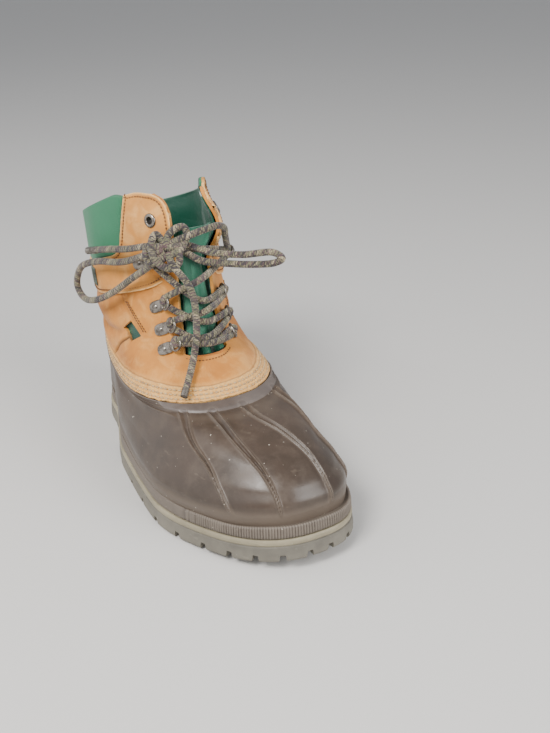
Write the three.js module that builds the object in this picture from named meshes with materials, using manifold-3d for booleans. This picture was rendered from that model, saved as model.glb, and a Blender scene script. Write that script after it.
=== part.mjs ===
// Pac boot, right foot: a rubber shell on a lugged sole with a laced leather upper.
// Millimetres. +X runs to the toe, +Y to the inner side of the foot, +Z up. The floor is z = 0.
import * as THREE from "three";
import { mergeVertices } from "three/addons/utils/BufferGeometryUtils.js";
import Module from "manifold-3d";

const wasm = await Module();
wasm.setup();

// Driving sizes
const LENGTH = 300;
const HALF_BALL = 65;
const HEIGHT = 212;
const SOLE_THICK = 16.8;
const STRIP_HIGH = 9.4;
const TOE_SPRING = 9;
const SPRING_START = 0.7;
const GAP = 0.3;
const RUBBER_WALL = 3;
const LEATHER_WALL = 2.2;
const CUFF_WALL = 1.6;
const TONGUE_WALL = 2.4;
const RIM_STEP = 1.6;
const LACE_WIDE = 5;
const LACE_SIDES = 6;
const LOOP_STEPS = 56;

// The stations of a loop, as shares of its own length from the heel, and the bend of the centreline there.
const STATIONS = [0, 0.16, 0.42, 0.66, 0.86, 1];
const BEND = [0, 0, -0.069, -0.085, 0.023, 0.115];

// A row per level of the boot. back and front are shares of LENGTH, the three heights are shares of
// HEIGHT, the half widths and the bend are shares of HALF_BALL, heelRound and toeRound are shares of
// the loop's length that the ends round off in, square is the power of the toe's curve.
const LEVELS = [
  { name: "feather", back: 0.023, front: 0.973, heights: [0.126, 0.126, 0.126], wide: [0.631, 0.877, 0.923, 0.846],
    bend: 1, heelRound: 0.17, toeRound: 0.36, square: 2.5, spring: 1 },
  { name: "bulge", back: 0.007, front: 0.98, heights: [0.189, 0.18, 0.18], wide: [0.66, 0.88, 0.955, 0.892],
    bend: 1, heelRound: 0.18, toeRound: 0.36, square: 2.4, spring: 0.9 },
  { name: "side", back: 0.003, front: 0.963, heights: [0.264, 0.245, 0.24], wide: [0.66, 0.865, 0.86, 0.835],
    bend: 0.9, heelRound: 0.2, toeRound: 0.38, square: 2.3, spring: 0.5 },
  { name: "toe top", back: 0.003, front: 0.91, heights: [0.321, 0.288, 0.302], wide: [0.65, 0.83, 0.8, 0.765],
    bend: 0.8, heelRound: 0.22, toeRound: 0.43, square: 2.3, spring: 0.2 },
  { name: "vamp", back: 0.003, front: 0.79, heights: [0.377, 0.311, 0.354], wide: [0.64, 0.79, 0.79, 0.785],
    bend: 0.7, heelRound: 0.25, toeRound: 0.42, square: 2.3, spring: 0 },
  { name: "rim", back: 0.007, front: 0.655, heights: [0.429, 0.335, 0.366], wide: [0.625, 0.755, 0.8, 0.8],
    bend: 0.6, heelRound: 0.28, toeRound: 0.36, square: 2.4, spring: 0 },
  { name: "instep", back: 0.013, front: 0.6, heights: [0.481, 0.406, 0.42], wide: [0.625, 0.735, 0.735, 0.67],
    bend: 0.6, heelRound: 0.3, toeRound: 0.42, square: 2.3, spring: 0 },
  { name: "throat", back: 0.02, front: 0.547, heights: [0.533, 0.481, 0.476], wide: [0.646, 0.738, 0.677, 0.554],
    bend: 0.6, heelRound: 0.32, toeRound: 0.46, square: 2.2, spring: 0 },
  { name: "ankle", back: 0.02, front: 0.51, heights: [0.613, 0.594, 0.585], wide: [0.662, 0.738, 0.631, 0.492],
    bend: 0.4, heelRound: 0.34, toeRound: 0.5, square: 2.1, spring: 0 },
  { name: "cuff", back: 0.007, front: 0.473, heights: [0.698, 0.708, 0.717], wide: [0.692, 0.738, 0.6, 0.462],
    bend: 0.2, heelRound: 0.36, toeRound: 0.52, square: 2, spring: 0 },
  { name: "collar", back: -0.01, front: 0.417, heights: [0.769, 0.877, 1], wide: [0.692, 0.708, 0.6, 0.477],
    bend: 0, heelRound: 0.38, toeRound: 0.52, square: 2, spring: 0 },
];
const RIM = 5;
const COLLAR = 10;
const SOLE_EDGE = { back: 0, front: 1, heights: [0, 0, 0], wide: [0.677, 0.908, 0.962, 0.877],
  bend: 1, heelRound: 0.17, toeRound: 0.36, square: 2.5, spring: 1 };

// Smooth monotone curve through (keys, values) at s.
function smooth(keys, values, s) {
  const last = keys.length - 1;
  if (s <= keys[0]) return values[0];
  if (s >= keys[last]) return values[last];
  let i = 0;
  while (s > keys[i + 1]) i += 1;
  const rise = (k) => (values[k + 1] - values[k]) / (keys[k + 1] - keys[k]);
  const slope = (k) => {
    if (k === 0) return rise(0);
    if (k === last) return rise(last - 1);
    const before = rise(k - 1);
    const after = rise(k);
    if (before * after <= 0) return 0;
    const near = keys[k] - keys[k - 1];
    const next = keys[k + 1] - keys[k];
    return (3 * near + 3 * next) / ((2 * next + near) / before + (next + 2 * near) / after);
  };
  const step = keys[i + 1] - keys[i];
  const t = (s - keys[i]) / step;
  const t2 = t * t;
  const t3 = t2 * t;
  return (2 * t3 - 3 * t2 + 1) * values[i] + (t3 - 2 * t2 + t) * step * slope(i)
    + (3 * t2 - 2 * t3) * values[i + 1] + (t3 - t2) * step * slope(i + 1);
}

const LEVEL_KEYS = LEVELS.map((_, k) => k);
const mix = (pick, u) => smooth(LEVEL_KEYS, LEVELS.map(pick), u);

// The level row at u, where u counts the rows of LEVELS from the feather edge (0) to the collar (10).
function levelAt(u) {
  return {
    back: mix((row) => row.back, u),
    front: mix((row) => row.front, u),
    heights: [0, 1, 2].map((k) => mix((row) => row.heights[k], u)),
    wide: [0, 1, 2, 3].map((k) => mix((row) => row.wide[k], u)),
    bend: mix((row) => row.bend, u),
    heelRound: mix((row) => row.heelRound, u),
    toeRound: mix((row) => row.toeRound, u),
    square: mix((row) => row.square, u),
    spring: mix((row) => row.spring, u),
  };
}

// How far the toe lifts at x, in mm.
const lift = (share) => TOE_SPRING * Math.max(0, (share - SPRING_START) / (1 - SPRING_START)) ** 2;

// The point of a level's loop at turn, where 0 is the heel, 1 the toe, and 0 to 1 the outer side.
function loopPoint(row, turn, inset = 0, rise = 0) {
  const angle = Math.PI * turn;
  const s = (1 - Math.cos(angle)) / 2;
  const side = Math.sin(angle) >= 0 ? -1 : 1;
  const [heel, waist, ball, toe] = row.wide.map((w) => w * HALF_BALL - inset);
  const half = smooth(STATIONS, [heel * 0.98, heel, waist, ball, toe, toe * 0.97], s);
  const heelPart = s < row.heelRound ? Math.sqrt(Math.max(0, 1 - (1 - s / row.heelRound) ** 2)) : 1;
  const q = Math.max(0, (s - 1 + row.toeRound) / row.toeRound);
  const toePart = Math.max(0, 1 - q ** row.square) ** (1 / row.square);
  const back = row.back * LENGTH + inset;
  const front = row.front * LENGTH - inset;
  const x = back + (front - back) * s;
  const centre = smooth(STATIONS, BEND, x / LENGTH) * row.bend * HALF_BALL;
  const z = smooth([0, 0.45, 1], row.heights, s) * HEIGHT + row.spring * lift(x / LENGTH) + rise;
  return new THREE.Vector3(x - LENGTH / 2, centre + side * half * heelPart * toePart, z);
}

// The boot's surface at level u and turn, with its outward normal and the way up the surface.
function surface(u, turn) {
  const near = 0.02;
  const level = Math.min(Math.max(u, 0), COLLAR);
  const lowLevel = Math.max(0, level - near);
  const highLevel = Math.min(COLLAR, level + near);
  const low = levelAt(lowLevel);
  const high = levelAt(highLevel);
  const here = levelAt(level);
  const at = loopPoint(here, turn);
  const rise = loopPoint(high, turn).sub(loopPoint(low, turn));
  const up = rise.clone().normalize();
  if (u > COLLAR) at.addScaledVector(rise, (u - COLLAR) / (highLevel - lowLevel));
  const along = loopPoint(here, turn + near).sub(loopPoint(here, turn - near)).normalize();
  const out = new THREE.Vector3().crossVectors(along, up).normalize();
  return { at, out, up, along };
}
const skinPoint = (u, turn, off) => {
  const { at, out } = surface(u, turn);
  return at.addScaledVector(out, off);
};

// Closed body from a grid of points; the body faces out whichever way the grid was walked.
function bodyOf(points, faces) {
  let volume = 0;
  for (const [a, b, c] of faces) volume += points[a].dot(points[b].clone().cross(points[c]));
  const index = faces.flatMap(([a, b, c]) => (volume > 0 ? [a, b, c] : [a, c, b]));
  const geometry = new THREE.BufferGeometry().setFromPoints(points);
  geometry.setIndex(index);
  return solidOf(geometry);
}
function solidOf(geometry) {
  const plain = new THREE.BufferGeometry();
  plain.setAttribute("position", geometry.getAttribute("position"));
  if (geometry.index) plain.setIndex(geometry.index);
  const joined = mergeVertices(plain, 1e-3);
  return new wasm.Manifold(new wasm.Mesh({
    numProp: 3,
    vertProperties: new Float32Array(joined.attributes.position.array),
    triVerts: new Uint32Array(joined.index.array),
  }));
}

// Ring body: rows is a closed profile of functions of turn, repeated round the boot.
function ringBody(rows, turns) {
  const points = rows.flatMap((row) => turns.map((turn) => row(turn)));
  const at = (i, j) => (i % rows.length) * turns.length + (j % turns.length);
  const faces = [];
  for (let i = 0; i < rows.length; i += 1) {
    for (let j = 0; j < turns.length; j += 1) {
      faces.push([at(i, j), at(i, j + 1), at(i + 1, j + 1)]);
      faces.push([at(i, j), at(i + 1, j + 1), at(i + 1, j)]);
    }
  }
  return bodyOf(points, faces);
}

// Slab body: a grid with an inner and an outer side; place(a, b, side) gives a point for shares a and b.
function slabBody(across, along, place) {
  const points = [];
  for (const side of [0, 1]) {
    for (let i = 0; i <= across; i += 1) {
      for (let j = 0; j <= along; j += 1) points.push(place(i / across, j / along, side));
    }
  }
  const layer = (across + 1) * (along + 1);
  const at = (i, j, side) => side * layer + i * (along + 1) + j;
  const faces = [];
  const quad = (a, b, c, d) => faces.push([a, b, c], [a, c, d]);
  for (let i = 0; i < across; i += 1) {
    for (let j = 0; j < along; j += 1) {
      quad(at(i, j, 1), at(i + 1, j, 1), at(i + 1, j + 1, 1), at(i, j + 1, 1));
      quad(at(i, j, 0), at(i, j + 1, 0), at(i + 1, j + 1, 0), at(i + 1, j, 0));
    }
    quad(at(i, 0, 0), at(i + 1, 0, 0), at(i + 1, 0, 1), at(i, 0, 1));
    quad(at(i, along, 0), at(i, along, 1), at(i + 1, along, 1), at(i + 1, along, 0));
  }
  for (let j = 0; j < along; j += 1) {
    quad(at(0, j, 0), at(0, j, 1), at(0, j + 1, 1), at(0, j + 1, 0));
    quad(at(across, j, 0), at(across, j + 1, 0), at(across, j + 1, 1), at(across, j, 1));
  }
  return bodyOf(points, faces);
}

// Plate body: stacked loops closed by a flat web at the top and the bottom.
function plateBody(rows, turns) {
  const points = rows.flatMap((row) => turns.map((turn) => row(turn)));
  const count = turns.length;
  const at = (i, j) => i * count + (j % count);
  const faces = [];
  for (let i = 0; i + 1 < rows.length; i += 1) {
    for (let j = 0; j < count; j += 1) {
      faces.push([at(i, j), at(i, j + 1), at(i + 1, j + 1)]);
      faces.push([at(i, j), at(i + 1, j + 1), at(i + 1, j)]);
    }
  }
  const top = rows.length - 1;
  for (let j = 0; j < count / 2; j += 1) {
    const other = (count - j) % count;
    const next = (count - j - 1) % count;
    if (j > 0) {
      faces.push([at(0, j), at(0, other), at(0, j + 1)]);
      faces.push([at(top, j), at(top, j + 1), at(top, other)]);
    }
    if (next !== j + 1) {
      faces.push([at(0, j + 1), at(0, other), at(0, next)]);
      faces.push([at(top, j + 1), at(top, next), at(top, other)]);
    }
  }
  return bodyOf(points, faces);
}

// Box body with its centre, half sizes and turn about Z.
function boxBody(centre, half, turn = 0) {
  const geometry = new THREE.BoxGeometry(half[0] * 2, half[1] * 2, half[2] * 2);
  geometry.rotateZ(turn);
  geometry.translate(centre[0], centre[1], centre[2]);
  return solidOf(geometry);
}

// Cord body along a smooth curve through the points, with a round section.
function cordBody(points, steps, wide = LACE_WIDE, sides = LACE_SIDES) {
  const shape = new THREE.Shape();
  for (let k = 0; k < sides; k += 1) {
    const a = (2 * Math.PI * k) / sides;
    const spot = [wide / 2 * Math.cos(a), wide / 2 * Math.sin(a)];
    if (k === 0) shape.moveTo(...spot);
    else shape.lineTo(...spot);
  }
  const path = new THREE.CatmullRomCurve3(points.map((p) => new THREE.Vector3(...p)), false, "centripetal");
  return solidOf(new THREE.ExtrudeGeometry(shape, { steps, extrudePath: path }));
}
const joined = (bodies) => bodies.reduce((all, body) => all.add(body));

// Turns round the boot, closer together over the toe and the heel's rounding.
const TURNS = [];
for (let k = 0; k < LOOP_STEPS; k += 1) TURNS.push((2 * k) / LOOP_STEPS);

// Outsole
const HEEL_BREAST = 0.29;
const ARCH_FRONT = 0.39;
const ARCH_HIGH = 7.5;
const LUG_DEEP = 4.5;
const NOTCH_WIDE = 4.2;
const NOTCH_IN = 7;
const edge = (turn, inset, rise) => loopPoint(SOLE_EDGE, turn, inset, rise);
function outsoleBody() {
  const rows = [
    (turn) => edge(turn, 0.6, 0),
    (turn) => edge(turn, -1, 2.2),
    (turn) => edge(turn, -0.2, SOLE_THICK * 0.66),
    (turn) => edge(turn, 0.9, SOLE_THICK * 0.72),
    (turn) => edge(turn, 0.3, SOLE_THICK),
  ];
  let body = plateBody(rows, TURNS);
  const arch = new THREE.Shape();
  const breast = HEEL_BREAST * LENGTH - LENGTH / 2;
  const front = ARCH_FRONT * LENGTH - LENGTH / 2;
  arch.moveTo(breast, -1);
  arch.lineTo(breast + 2.5, ARCH_HIGH);
  arch.lineTo(breast + 9, ARCH_HIGH);
  arch.lineTo(front, LUG_DEEP);
  arch.lineTo(front + 2, -1);
  const archCut = new THREE.ExtrudeGeometry(arch, { depth: HALF_BALL * 2.4, bevelEnabled: false });
  archCut.rotateX(Math.PI / 2);
  archCut.translate(0, HALF_BALL * 1.2, 0);
  body = body.subtract(solidOf(archCut));
  // Notches of the lugs along the side, as turns of the edge loop on either side of the toe.
  const notchTurns = [0.13, 0.22, 0.31, 0.5, 0.557, 0.615, 0.672, 0.73, 0.79, 0.85, 0.915, 0.98];
  for (const turn of [...notchTurns, ...notchTurns.map((t) => 2 - t)]) {
    const here = edge(turn, 0, 0);
    const ahead = edge(turn + 0.01, 0, 0).sub(edge(turn - 0.01, 0, 0));
    const way = Math.atan2(ahead.y, ahead.x);
    body = body.subtract(boxBody([here.x, here.y, here.z + LUG_DEEP / 2 - 2],
      [NOTCH_WIDE / 2, NOTCH_IN, LUG_DEEP / 2 + 2], way));
  }
  // Cross channels of the tread
  for (const share of [0.1, 0.19, 0.49, 0.58, 0.67, 0.76]) {
    body = body.subtract(boxBody([share * LENGTH - LENGTH / 2, -2, lift(share) + 0.5], [2.2, 34, 2.6]));
  }
  return body;
}

// Strip round the shell
function stripBody() {
  const low = SOLE_THICK + GAP;
  const high = SOLE_THICK + STRIP_HIGH;
  return ringBody([
    (turn) => edge(turn, 1.2, low),
    (turn) => edge(turn, 0.8, high - 2),
    (turn) => edge(turn, 1.8, high),
    (turn) => edge(turn, 4.6, high),
    (turn) => edge(turn, 4.6, low),
  ], TURNS);
}

// Rubber shell, with a step for its rim band and a lip that the leather overlaps
const LIP_TOP = 5.42;
const BAND_LOW = 4.55;
function shellBody() {
  const low = SOLE_THICK + GAP;
  const high = SOLE_THICK + STRIP_HIGH + GAP;
  const outer = [0.45, 1.1, 2, 3, 4].map((u) => (turn) => skinPoint(u, turn, 0));
  const inner = [4.6, 3.2, 1.8, 0.4].map((u) => (turn) => skinPoint(u, turn, -RUBBER_WALL));
  return ringBody([
    (turn) => edge(turn, 4.9, low),
    (turn) => edge(turn, 4.9, high),
    (turn) => edge(turn, 2.8, high),
    ...outer,
    (turn) => skinPoint(BAND_LOW, turn, 0),
    (turn) => skinPoint(BAND_LOW + 0.05, turn, RIM_STEP),
    (turn) => skinPoint(RIM, turn, RIM_STEP),
    (turn) => skinPoint(RIM + 0.02, turn, -1.5),
    (turn) => skinPoint(LIP_TOP, turn, -1.5),
    (turn) => skinPoint(LIP_TOP, turn, -3.3),
    ...inner,
    (turn) => edge(turn, 8.2, high - 2),
    (turn) => edge(turn, 8.2, low),
  ], TURNS);
}

// Leather upper: a stitched double edge over the shell's lip, then one wall up to the collar
const EDGE_TOP = 5.5;
function leatherTube() {
  return ringBody([
    (turn) => skinPoint(RIM + 0.09, turn, 1.2),
    (turn) => skinPoint(EDGE_TOP - 0.04, turn, 1.2),
    (turn) => skinPoint(EDGE_TOP + 0.04, turn, 0),
    ...[6, 6.7, 7.4, 8.1, 8.8, 9.4, 10].map((u) => (turn) => skinPoint(u, turn, 0)),
    ...[10, 8.8, 7.5, 6.2].map((u) => (turn) => skinPoint(u, turn, -LEATHER_WALL)),
    (turn) => skinPoint(EDGE_TOP + 0.04, turn, -LEATHER_WALL),
    (turn) => skinPoint(EDGE_TOP - 0.04, turn, -1),
    (turn) => skinPoint(RIM + 0.09, turn, -1),
  ], TURNS);
}

// Throat opening: outer and inner edge of the throat at each level.
const THROAT = [
  { level: 6.9, outer: 0.925, inner: 1.075 },
  { level: 7.0, outer: 0.87, inner: 1.125 },
  { level: 7.4, outer: 0.872, inner: 1.128 },
  { level: 8.2, outer: 0.862, inner: 1.145 },
  { level: 9, outer: 0.87, inner: 1.178 },
  { level: 9.6, outer: 0.885, inner: 1.195 },
  { level: 9.82, outer: 0.865, inner: 1.205 },
  { level: 9.95, outer: 0.82, inner: 1.235 },
  { level: 10.4, outer: 0.76, inner: 1.3 },
];
const throatEdge = (key, u) => smooth(THROAT.map((row) => row.level), THROAT.map((row) => row[key]), u);
function throatCut() {
  const levels = THROAT.map((row) => row.level);
  return slabBody(levels.length - 1, 8, (a, b, side) => {
    const u = levels[Math.round(a * (levels.length - 1))];
    const turn = throatEdge("outer", u) + (throatEdge("inner", u) - throatEdge("outer", u)) * b;
    return skinPoint(u, turn, side ? 9 : -9);
  });
}

// Flex hole on each side, open down to a slit
const FLEX_LEVELS = [6.95, 7.5];
const FLEX_TURNS = [0.585, 0.655];
const mirrored = (turn, inner) => (inner ? 2 - turn : turn);
function flexBody(inner, grow, offs) {
  const corners = [[0, 0.45], [0.5, 1], [1, 0.4], [0.55, 0]];
  const spots = corners.map(([a, b]) => [
    FLEX_LEVELS[0] - grow * 0.04 + (FLEX_LEVELS[1] - FLEX_LEVELS[0] + grow * 0.08) * b,
    FLEX_TURNS[0] - grow * 0.008 + (FLEX_TURNS[1] - FLEX_TURNS[0] + grow * 0.016) * a,
  ]);
  return slabBody(2, 2, (a, b, side) => {
    const low = [0, 1].map((k) => spots[0][k] * (1 - a) + spots[3][k] * a);
    const high = [0, 1].map((k) => spots[1][k] * (1 - a) + spots[2][k] * a);
    const [u, turn] = [0, 1].map((k) => low[k] * (1 - b) + high[k] * b);
    return skinPoint(u, mirrored(turn, inner), offs[side]);
  });
}

// Cuff: low edge as a level at each turn from the heel to the throat
const CUFF_TURNS = [0, 0.2, 0.38, 0.55, 0.68, 0.76, 0.81, 0.838, 0.85];
const CUFF_LOW = [7.75, 7.75, 7.8, 8.15, 8.5, 8.72, 8.9, 9.1, 9.3];
const CUFF_OFF = 0.45;
const PANEL_TURN = 17 / 28;
const PANEL_LOW = 9.05;
const CUFF_STEPS = 48;
function cuffBody() {
  const reach = CUFF_STEPS / LOOP_STEPS;
  const top = (turn) => COLLAR - 0.06 - 0.25 * Math.max(0, (Math.abs(turn) - 0.8) / 0.05) ** 2;
  const body = slabBody(CUFF_STEPS, 2, (a, b, side) => {
    const turn = reach * (2 * a - 1);
    const low = smooth(CUFF_TURNS, CUFF_LOW, Math.abs(turn));
    return skinPoint(low + (top(turn) - low) * b, turn, CUFF_OFF + side * CUFF_WALL);
  });
  return body.subtract(panelShape(0, [-3, 9], COLLAR + 0.4)).subtract(throatCut());
}
function panelShape(inset, offs, top) {
  return slabBody(34, 2, (a, b, side) => {
    const turn = Math.max(-PANEL_TURN + inset, Math.min(PANEL_TURN - inset, PANEL_TURN * (2 * a - 1)));
    const corner = Math.max(0, (Math.abs(turn) - PANEL_TURN * 0.86) / (PANEL_TURN * 0.14)) ** 2;
    const low = PANEL_LOW + inset * 3 + 0.35 * corner;
    return skinPoint(low + (top - low) * b, turn, offs[side]);
  });
}

// Tongue behind the throat, puffed between its edges
const TONGUE_GAP = 0.9;
function tongueBody() {
  return slabBody(10, 8, (a, b, side) => {
    const u = 6.55 + (9.45 - 6.55) * a;
    const reach = 0.2 + 0.03 * a;
    const turn = 1 + reach * (2 * b - 1);
    const puff = 1.4 * (1 - (2 * b - 1) ** 2) ** 2 * Math.sin(Math.PI * Math.min(1, a * 1.1));
    return skinPoint(u, turn, -LEATHER_WALL - TONGUE_GAP - (side ? 0 : TONGUE_WALL) + puff);
  });
}

// Insole on the outsole, inside the shell
function insoleBody() {
  const low = SOLE_THICK + GAP;
  return plateBody([
    (turn) => edge(turn, 9.4, low),
    (turn) => edge(turn, 9.4, low + 3.2),
  ], TURNS.filter((_, k) => k % 2 === 0));
}

// Lace clip: a folded plate and a ring that stands off it towards the throat
const RING_WIRE = 1.9;
function clipBody(u, turn, off, inner) {
  const { at, out, up, along } = surface(u, mirrored(turn, inner));
  const way = along.clone().multiplyScalar(inner ? -1 : 1);
  // The plate clears the highest spot of the curved leather under it.
  let seat = 0;
  for (const du of [-0.3, 0, 0.3]) {
    for (const dt of [-0.06, -0.03, 0, 0.03]) {
      seat = Math.max(seat, surface(u + du, mirrored(turn + dt, inner)).at.sub(at).dot(out));
    }
  }
  const base = at.clone().addScaledVector(out, off + seat);
  const plate = new THREE.BoxGeometry(9, 6.5, 1.4);
  const frame = new THREE.Matrix4().makeBasis(way, out.clone().cross(way), out);
  plate.applyMatrix4(frame);
  plate.translate(...base.clone().addScaledVector(out, 0.7).addScaledVector(way, -3.5).toArray());
  const lean = way.clone().multiplyScalar(0.77).addScaledVector(out, 0.64).normalize();
  const ring = new THREE.TorusGeometry(4.6, RING_WIRE / 2, 4, 9);
  ring.applyMatrix4(new THREE.Matrix4().makeBasis(lean, up, lean.clone().cross(up)));
  ring.translate(...base.clone().addScaledVector(out, 1.9).addScaledVector(lean, 3.6).toArray());
  return solidOf(plate).add(solidOf(ring));
}
const CLIPS = [
  { name: "cuff", level: 9.18, turn: 0.715, off: GAP * 2 + CUFF_WALL },
  { name: "high", level: 8.22, turn: 0.765, off: GAP },
  { name: "middle", level: 7.66, turn: 0.79, off: GAP },
  { name: "low", level: 7.14, turn: 0.81, off: GAP * 2 },
];

// Grommet through the cuff's flap; the inner flap is narrower
const GROMMET = { level: 9.68, turn: 0.775, innerTurn: 1.265 };
function barrel(inner, radius, long, sides = 10) {
  const { at, out } = surface(GROMMET.level, inner ? GROMMET.innerTurn : GROMMET.turn);
  const geometry = new THREE.CylinderGeometry(radius, radius, long, sides);
  geometry.applyQuaternion(new THREE.Quaternion().setFromUnitVectors(new THREE.Vector3(0, 1, 0), out));
  geometry.translate(...at.toArray());
  return { body: solidOf(geometry), out };
}
function grommetBody(inner) {
  const top = CUFF_OFF + CUFF_WALL + GAP;
  const washer = barrel(inner, 5.2, 1.4);
  const tube = barrel(inner, 3.4, 6);
  const bore = barrel(inner, 2.5, 30);
  const shift = washer.out.clone().multiplyScalar(top + 0.9);
  const tubeShift = washer.out.clone().multiplyScalar(top - 1.6);
  return washer.body.translate(shift.toArray()).add(tube.body.translate(tubeShift.toArray()))
    .subtract(bore.body);
}

// Lace between the rings: a bar over the throat's foot, then crossings up to the cuff rings
const CROSSING_TURN = 0.9;
const CROSSING_OFF = 4.7;
const CROSSING_TOP = 8.85;
function crossingBody() {
  // Each lace turns just inside its rings and crosses the other one between two pairs of rings.
  const beside = (row, inner) => skinPoint(Math.min(row.level, CROSSING_TOP), mirrored(CROSSING_TURN, inner),
    CROSSING_OFF);
  const order = [...CLIPS].reverse();
  const laceRun = (startsInner, over) => {
    const spots = [];
    order.forEach((row, k) => {
      if (k > 0) {
        const bow = (k % 2 === 0) === over ? 2 : -0.2;
        spots.push(skinPoint((row.level + order[k - 1].level) / 2, 1, CROSSING_OFF + bow).toArray());
      }
      spots.push(beside(row, (k % 2 === 0) === startsInner).toArray());
    });
    return cordBody(spots, 14);
  };
  const low = CLIPS[CLIPS.length - 1];
  const bar = cordBody([
    beside(low, false).toArray(),
    skinPoint(low.level, 1, CROSSING_OFF).toArray(),
    beside(low, true).toArray(),
  ], 5);
  return joined([laceRun(true, true), laceRun(false, false), bar]);
}

// Loose lace: each row is a spot as shares of LENGTH from the heel, HALF_BALL and HEIGHT
const LOOSE = {
  loopOuter: [[0.456, -0.28, 0.815], [0.449, -0.414, 0.807], [0.362, -0.65, 0.75], [0.278, -0.83, 0.726], [0.215, -0.937, 0.684],
    [0.184, -0.97, 0.605], [0.218, -0.957, 0.573], [0.286, -0.9, 0.592], [0.338, -0.765, 0.636],
    [0.388, -0.6, 0.7], [0.446, -0.449, 0.767], [0.456, -0.28, 0.815]],
  endOuter: [[0.456, -0.28, 0.815], [0.446, -0.43, 0.827], [0.372, -0.6, 0.797], [0.306, -0.74, 0.777], [0.236, -0.86, 0.75]],
  endFront: [[0.456, -0.28, 0.815], [0.479, -0.282, 0.772], [0.521, -0.166, 0.695], [0.553, -0.192, 0.567], [0.567, -0.28, 0.478],
    [0.628, -0.531, 0.396]],
  loopInner: [[0.456, -0.28, 0.815], [0.45, -0.123, 0.798], [0.48, 0.062, 0.756], [0.509, 0.277, 0.75], [0.559, 0.523, 0.75],
    [0.597, 0.677, 0.777], [0.611, 0.708, 0.812], [0.59, 0.615, 0.826], [0.537, 0.4, 0.792],
    [0.486, 0.154, 0.79], [0.449, -0.062, 0.81], [0.456, -0.28, 0.815]],
  overStrand: [[0.456, -0.28, 0.815], [0.455, -0.215, 0.84], [0.47, -0.062, 0.859], [0.474, 0.138, 0.868], [0.468, 0.292, 0.853]],
  knotTurn: [[0.435, -0.43, 0.85], [0.452, -0.3, 0.865], [0.47, -0.2, 0.83], [0.465, -0.25, 0.78],
    [0.447, -0.39, 0.775]],
  knotWrap: [[0.43, -0.43, 0.8], [0.46, -0.34, 0.84], [0.468, -0.18, 0.82], [0.45, -0.08, 0.79]],
};
const KNOT_CORE = 7.2;
function bowBody() {
  const steps = { loopOuter: 14, endOuter: 4, endFront: 7, loopInner: 13, overStrand: 4, knotTurn: 4, knotWrap: 4 };
  const spotOf = ([x, y, z]) => [x * LENGTH - LENGTH / 2, y * HALF_BALL, z * HEIGHT];
  const core = new THREE.IcosahedronGeometry(KNOT_CORE, 1);
  core.translate(...spotOf(LOOSE.loopOuter[0]));
  const cords = Object.entries(LOOSE).map(([name, rows]) => cordBody(rows.map(spotOf), steps[name]));
  return joined([solidOf(core), ...cords]);
}

// Webbing tab on the outer side of the cuff
function tabBody() {
  return slabBody(1, 2, (a, b, side) => skinPoint(8.15 + 0.5 * b, 0.402 + 0.037 * a,
    CUFF_OFF + CUFF_WALL + 0.45 + side * 1.2));
}

const group = new THREE.Group();
function place(name, body) {
  const mesh = body.getMesh();
  const spots = new Float32Array(mesh.numVert * 3);
  for (let i = 0; i < mesh.numVert; i += 1) {
    spots.set(mesh.vertProperties.subarray(i * mesh.numProp, i * mesh.numProp + 3), i * 3);
  }
  const geometry = new THREE.BufferGeometry();
  geometry.setAttribute("position", new THREE.BufferAttribute(spots, 3));
  geometry.setIndex(new THREE.BufferAttribute(new Uint32Array(mesh.triVerts), 1));
  const node = new THREE.Mesh(geometry, new THREE.MeshStandardMaterial());
  node.name = name;
  group.add(node);
}

const flexCuts = [false, true].map((inner) => flexBody(inner, 0, [-6, 5]));
const grommetCuts = [false, true].map((inner) => barrel(inner, 3.8, 30).body);
let leather = leatherTube().subtract(throatCut());
for (const cut of [...flexCuts, ...grommetCuts]) leather = leather.subtract(cut);
let cuff = cuffBody();
for (const cut of grommetCuts) cuff = cuff.subtract(cut);

place("outsole", outsoleBody());
place("foxing_strip", stripBody());
place("rubber_shell", shellBody());
place("leather_upper", leather);
place("tongue", tongueBody());
place("insole", insoleBody());
place("cuff", cuff);
place("collar_panel", panelShape(0.012, [CUFF_OFF, CUFF_OFF + 2.2], COLLAR - 0.06));
place("flex_patch_outer", flexBody(false, 1, [-LEATHER_WALL - GAP - 1.4, -LEATHER_WALL - GAP]));
place("flex_patch_inner", flexBody(true, 1, [-LEATHER_WALL - GAP - 1.4, -LEATHER_WALL - GAP]));
for (const inner of [false, true]) {
  const side = inner ? "inner" : "outer";
  for (const clip of CLIPS) place(`clip_${clip.name}_${side}`, clipBody(clip.level, clip.turn, clip.off, inner));
  place(`grommet_${side}`, grommetBody(inner));
}
place("side_tab", tabBody());
place("lace_crossings", crossingBody());
place("lace_bow", bowBody());

// The origin is under the middle of the boot without its loose lace.
const extent = new THREE.Box3();
for (const node of group.children) {
  node.geometry.computeBoundingBox();
  if (node.name !== "lace_bow") extent.union(node.geometry.boundingBox);
}
const middle = extent.getCenter(new THREE.Vector3());
for (const node of group.children) node.geometry.translate(-middle.x, -middle.y, -extent.min.z);

export default group;
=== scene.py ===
"""The look of a right pac boot: rubber shell on a lugged sole, laced nubuck upper, green nylon trim.

Millimetres are used for every size and turned into metres where a mesh is made. A place on the boot
is a level u, which counts the rows of LEVELS from the feather edge (0) to the collar (10), and a turn
round the boot, 0 at the heel and 1 at the toe, 0 to 1 on the outer side and 1 to 2 on the inner side.
"""

import math

import bmesh
import bpy
import numpy as np
from mathutils import Matrix, Vector


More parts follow.
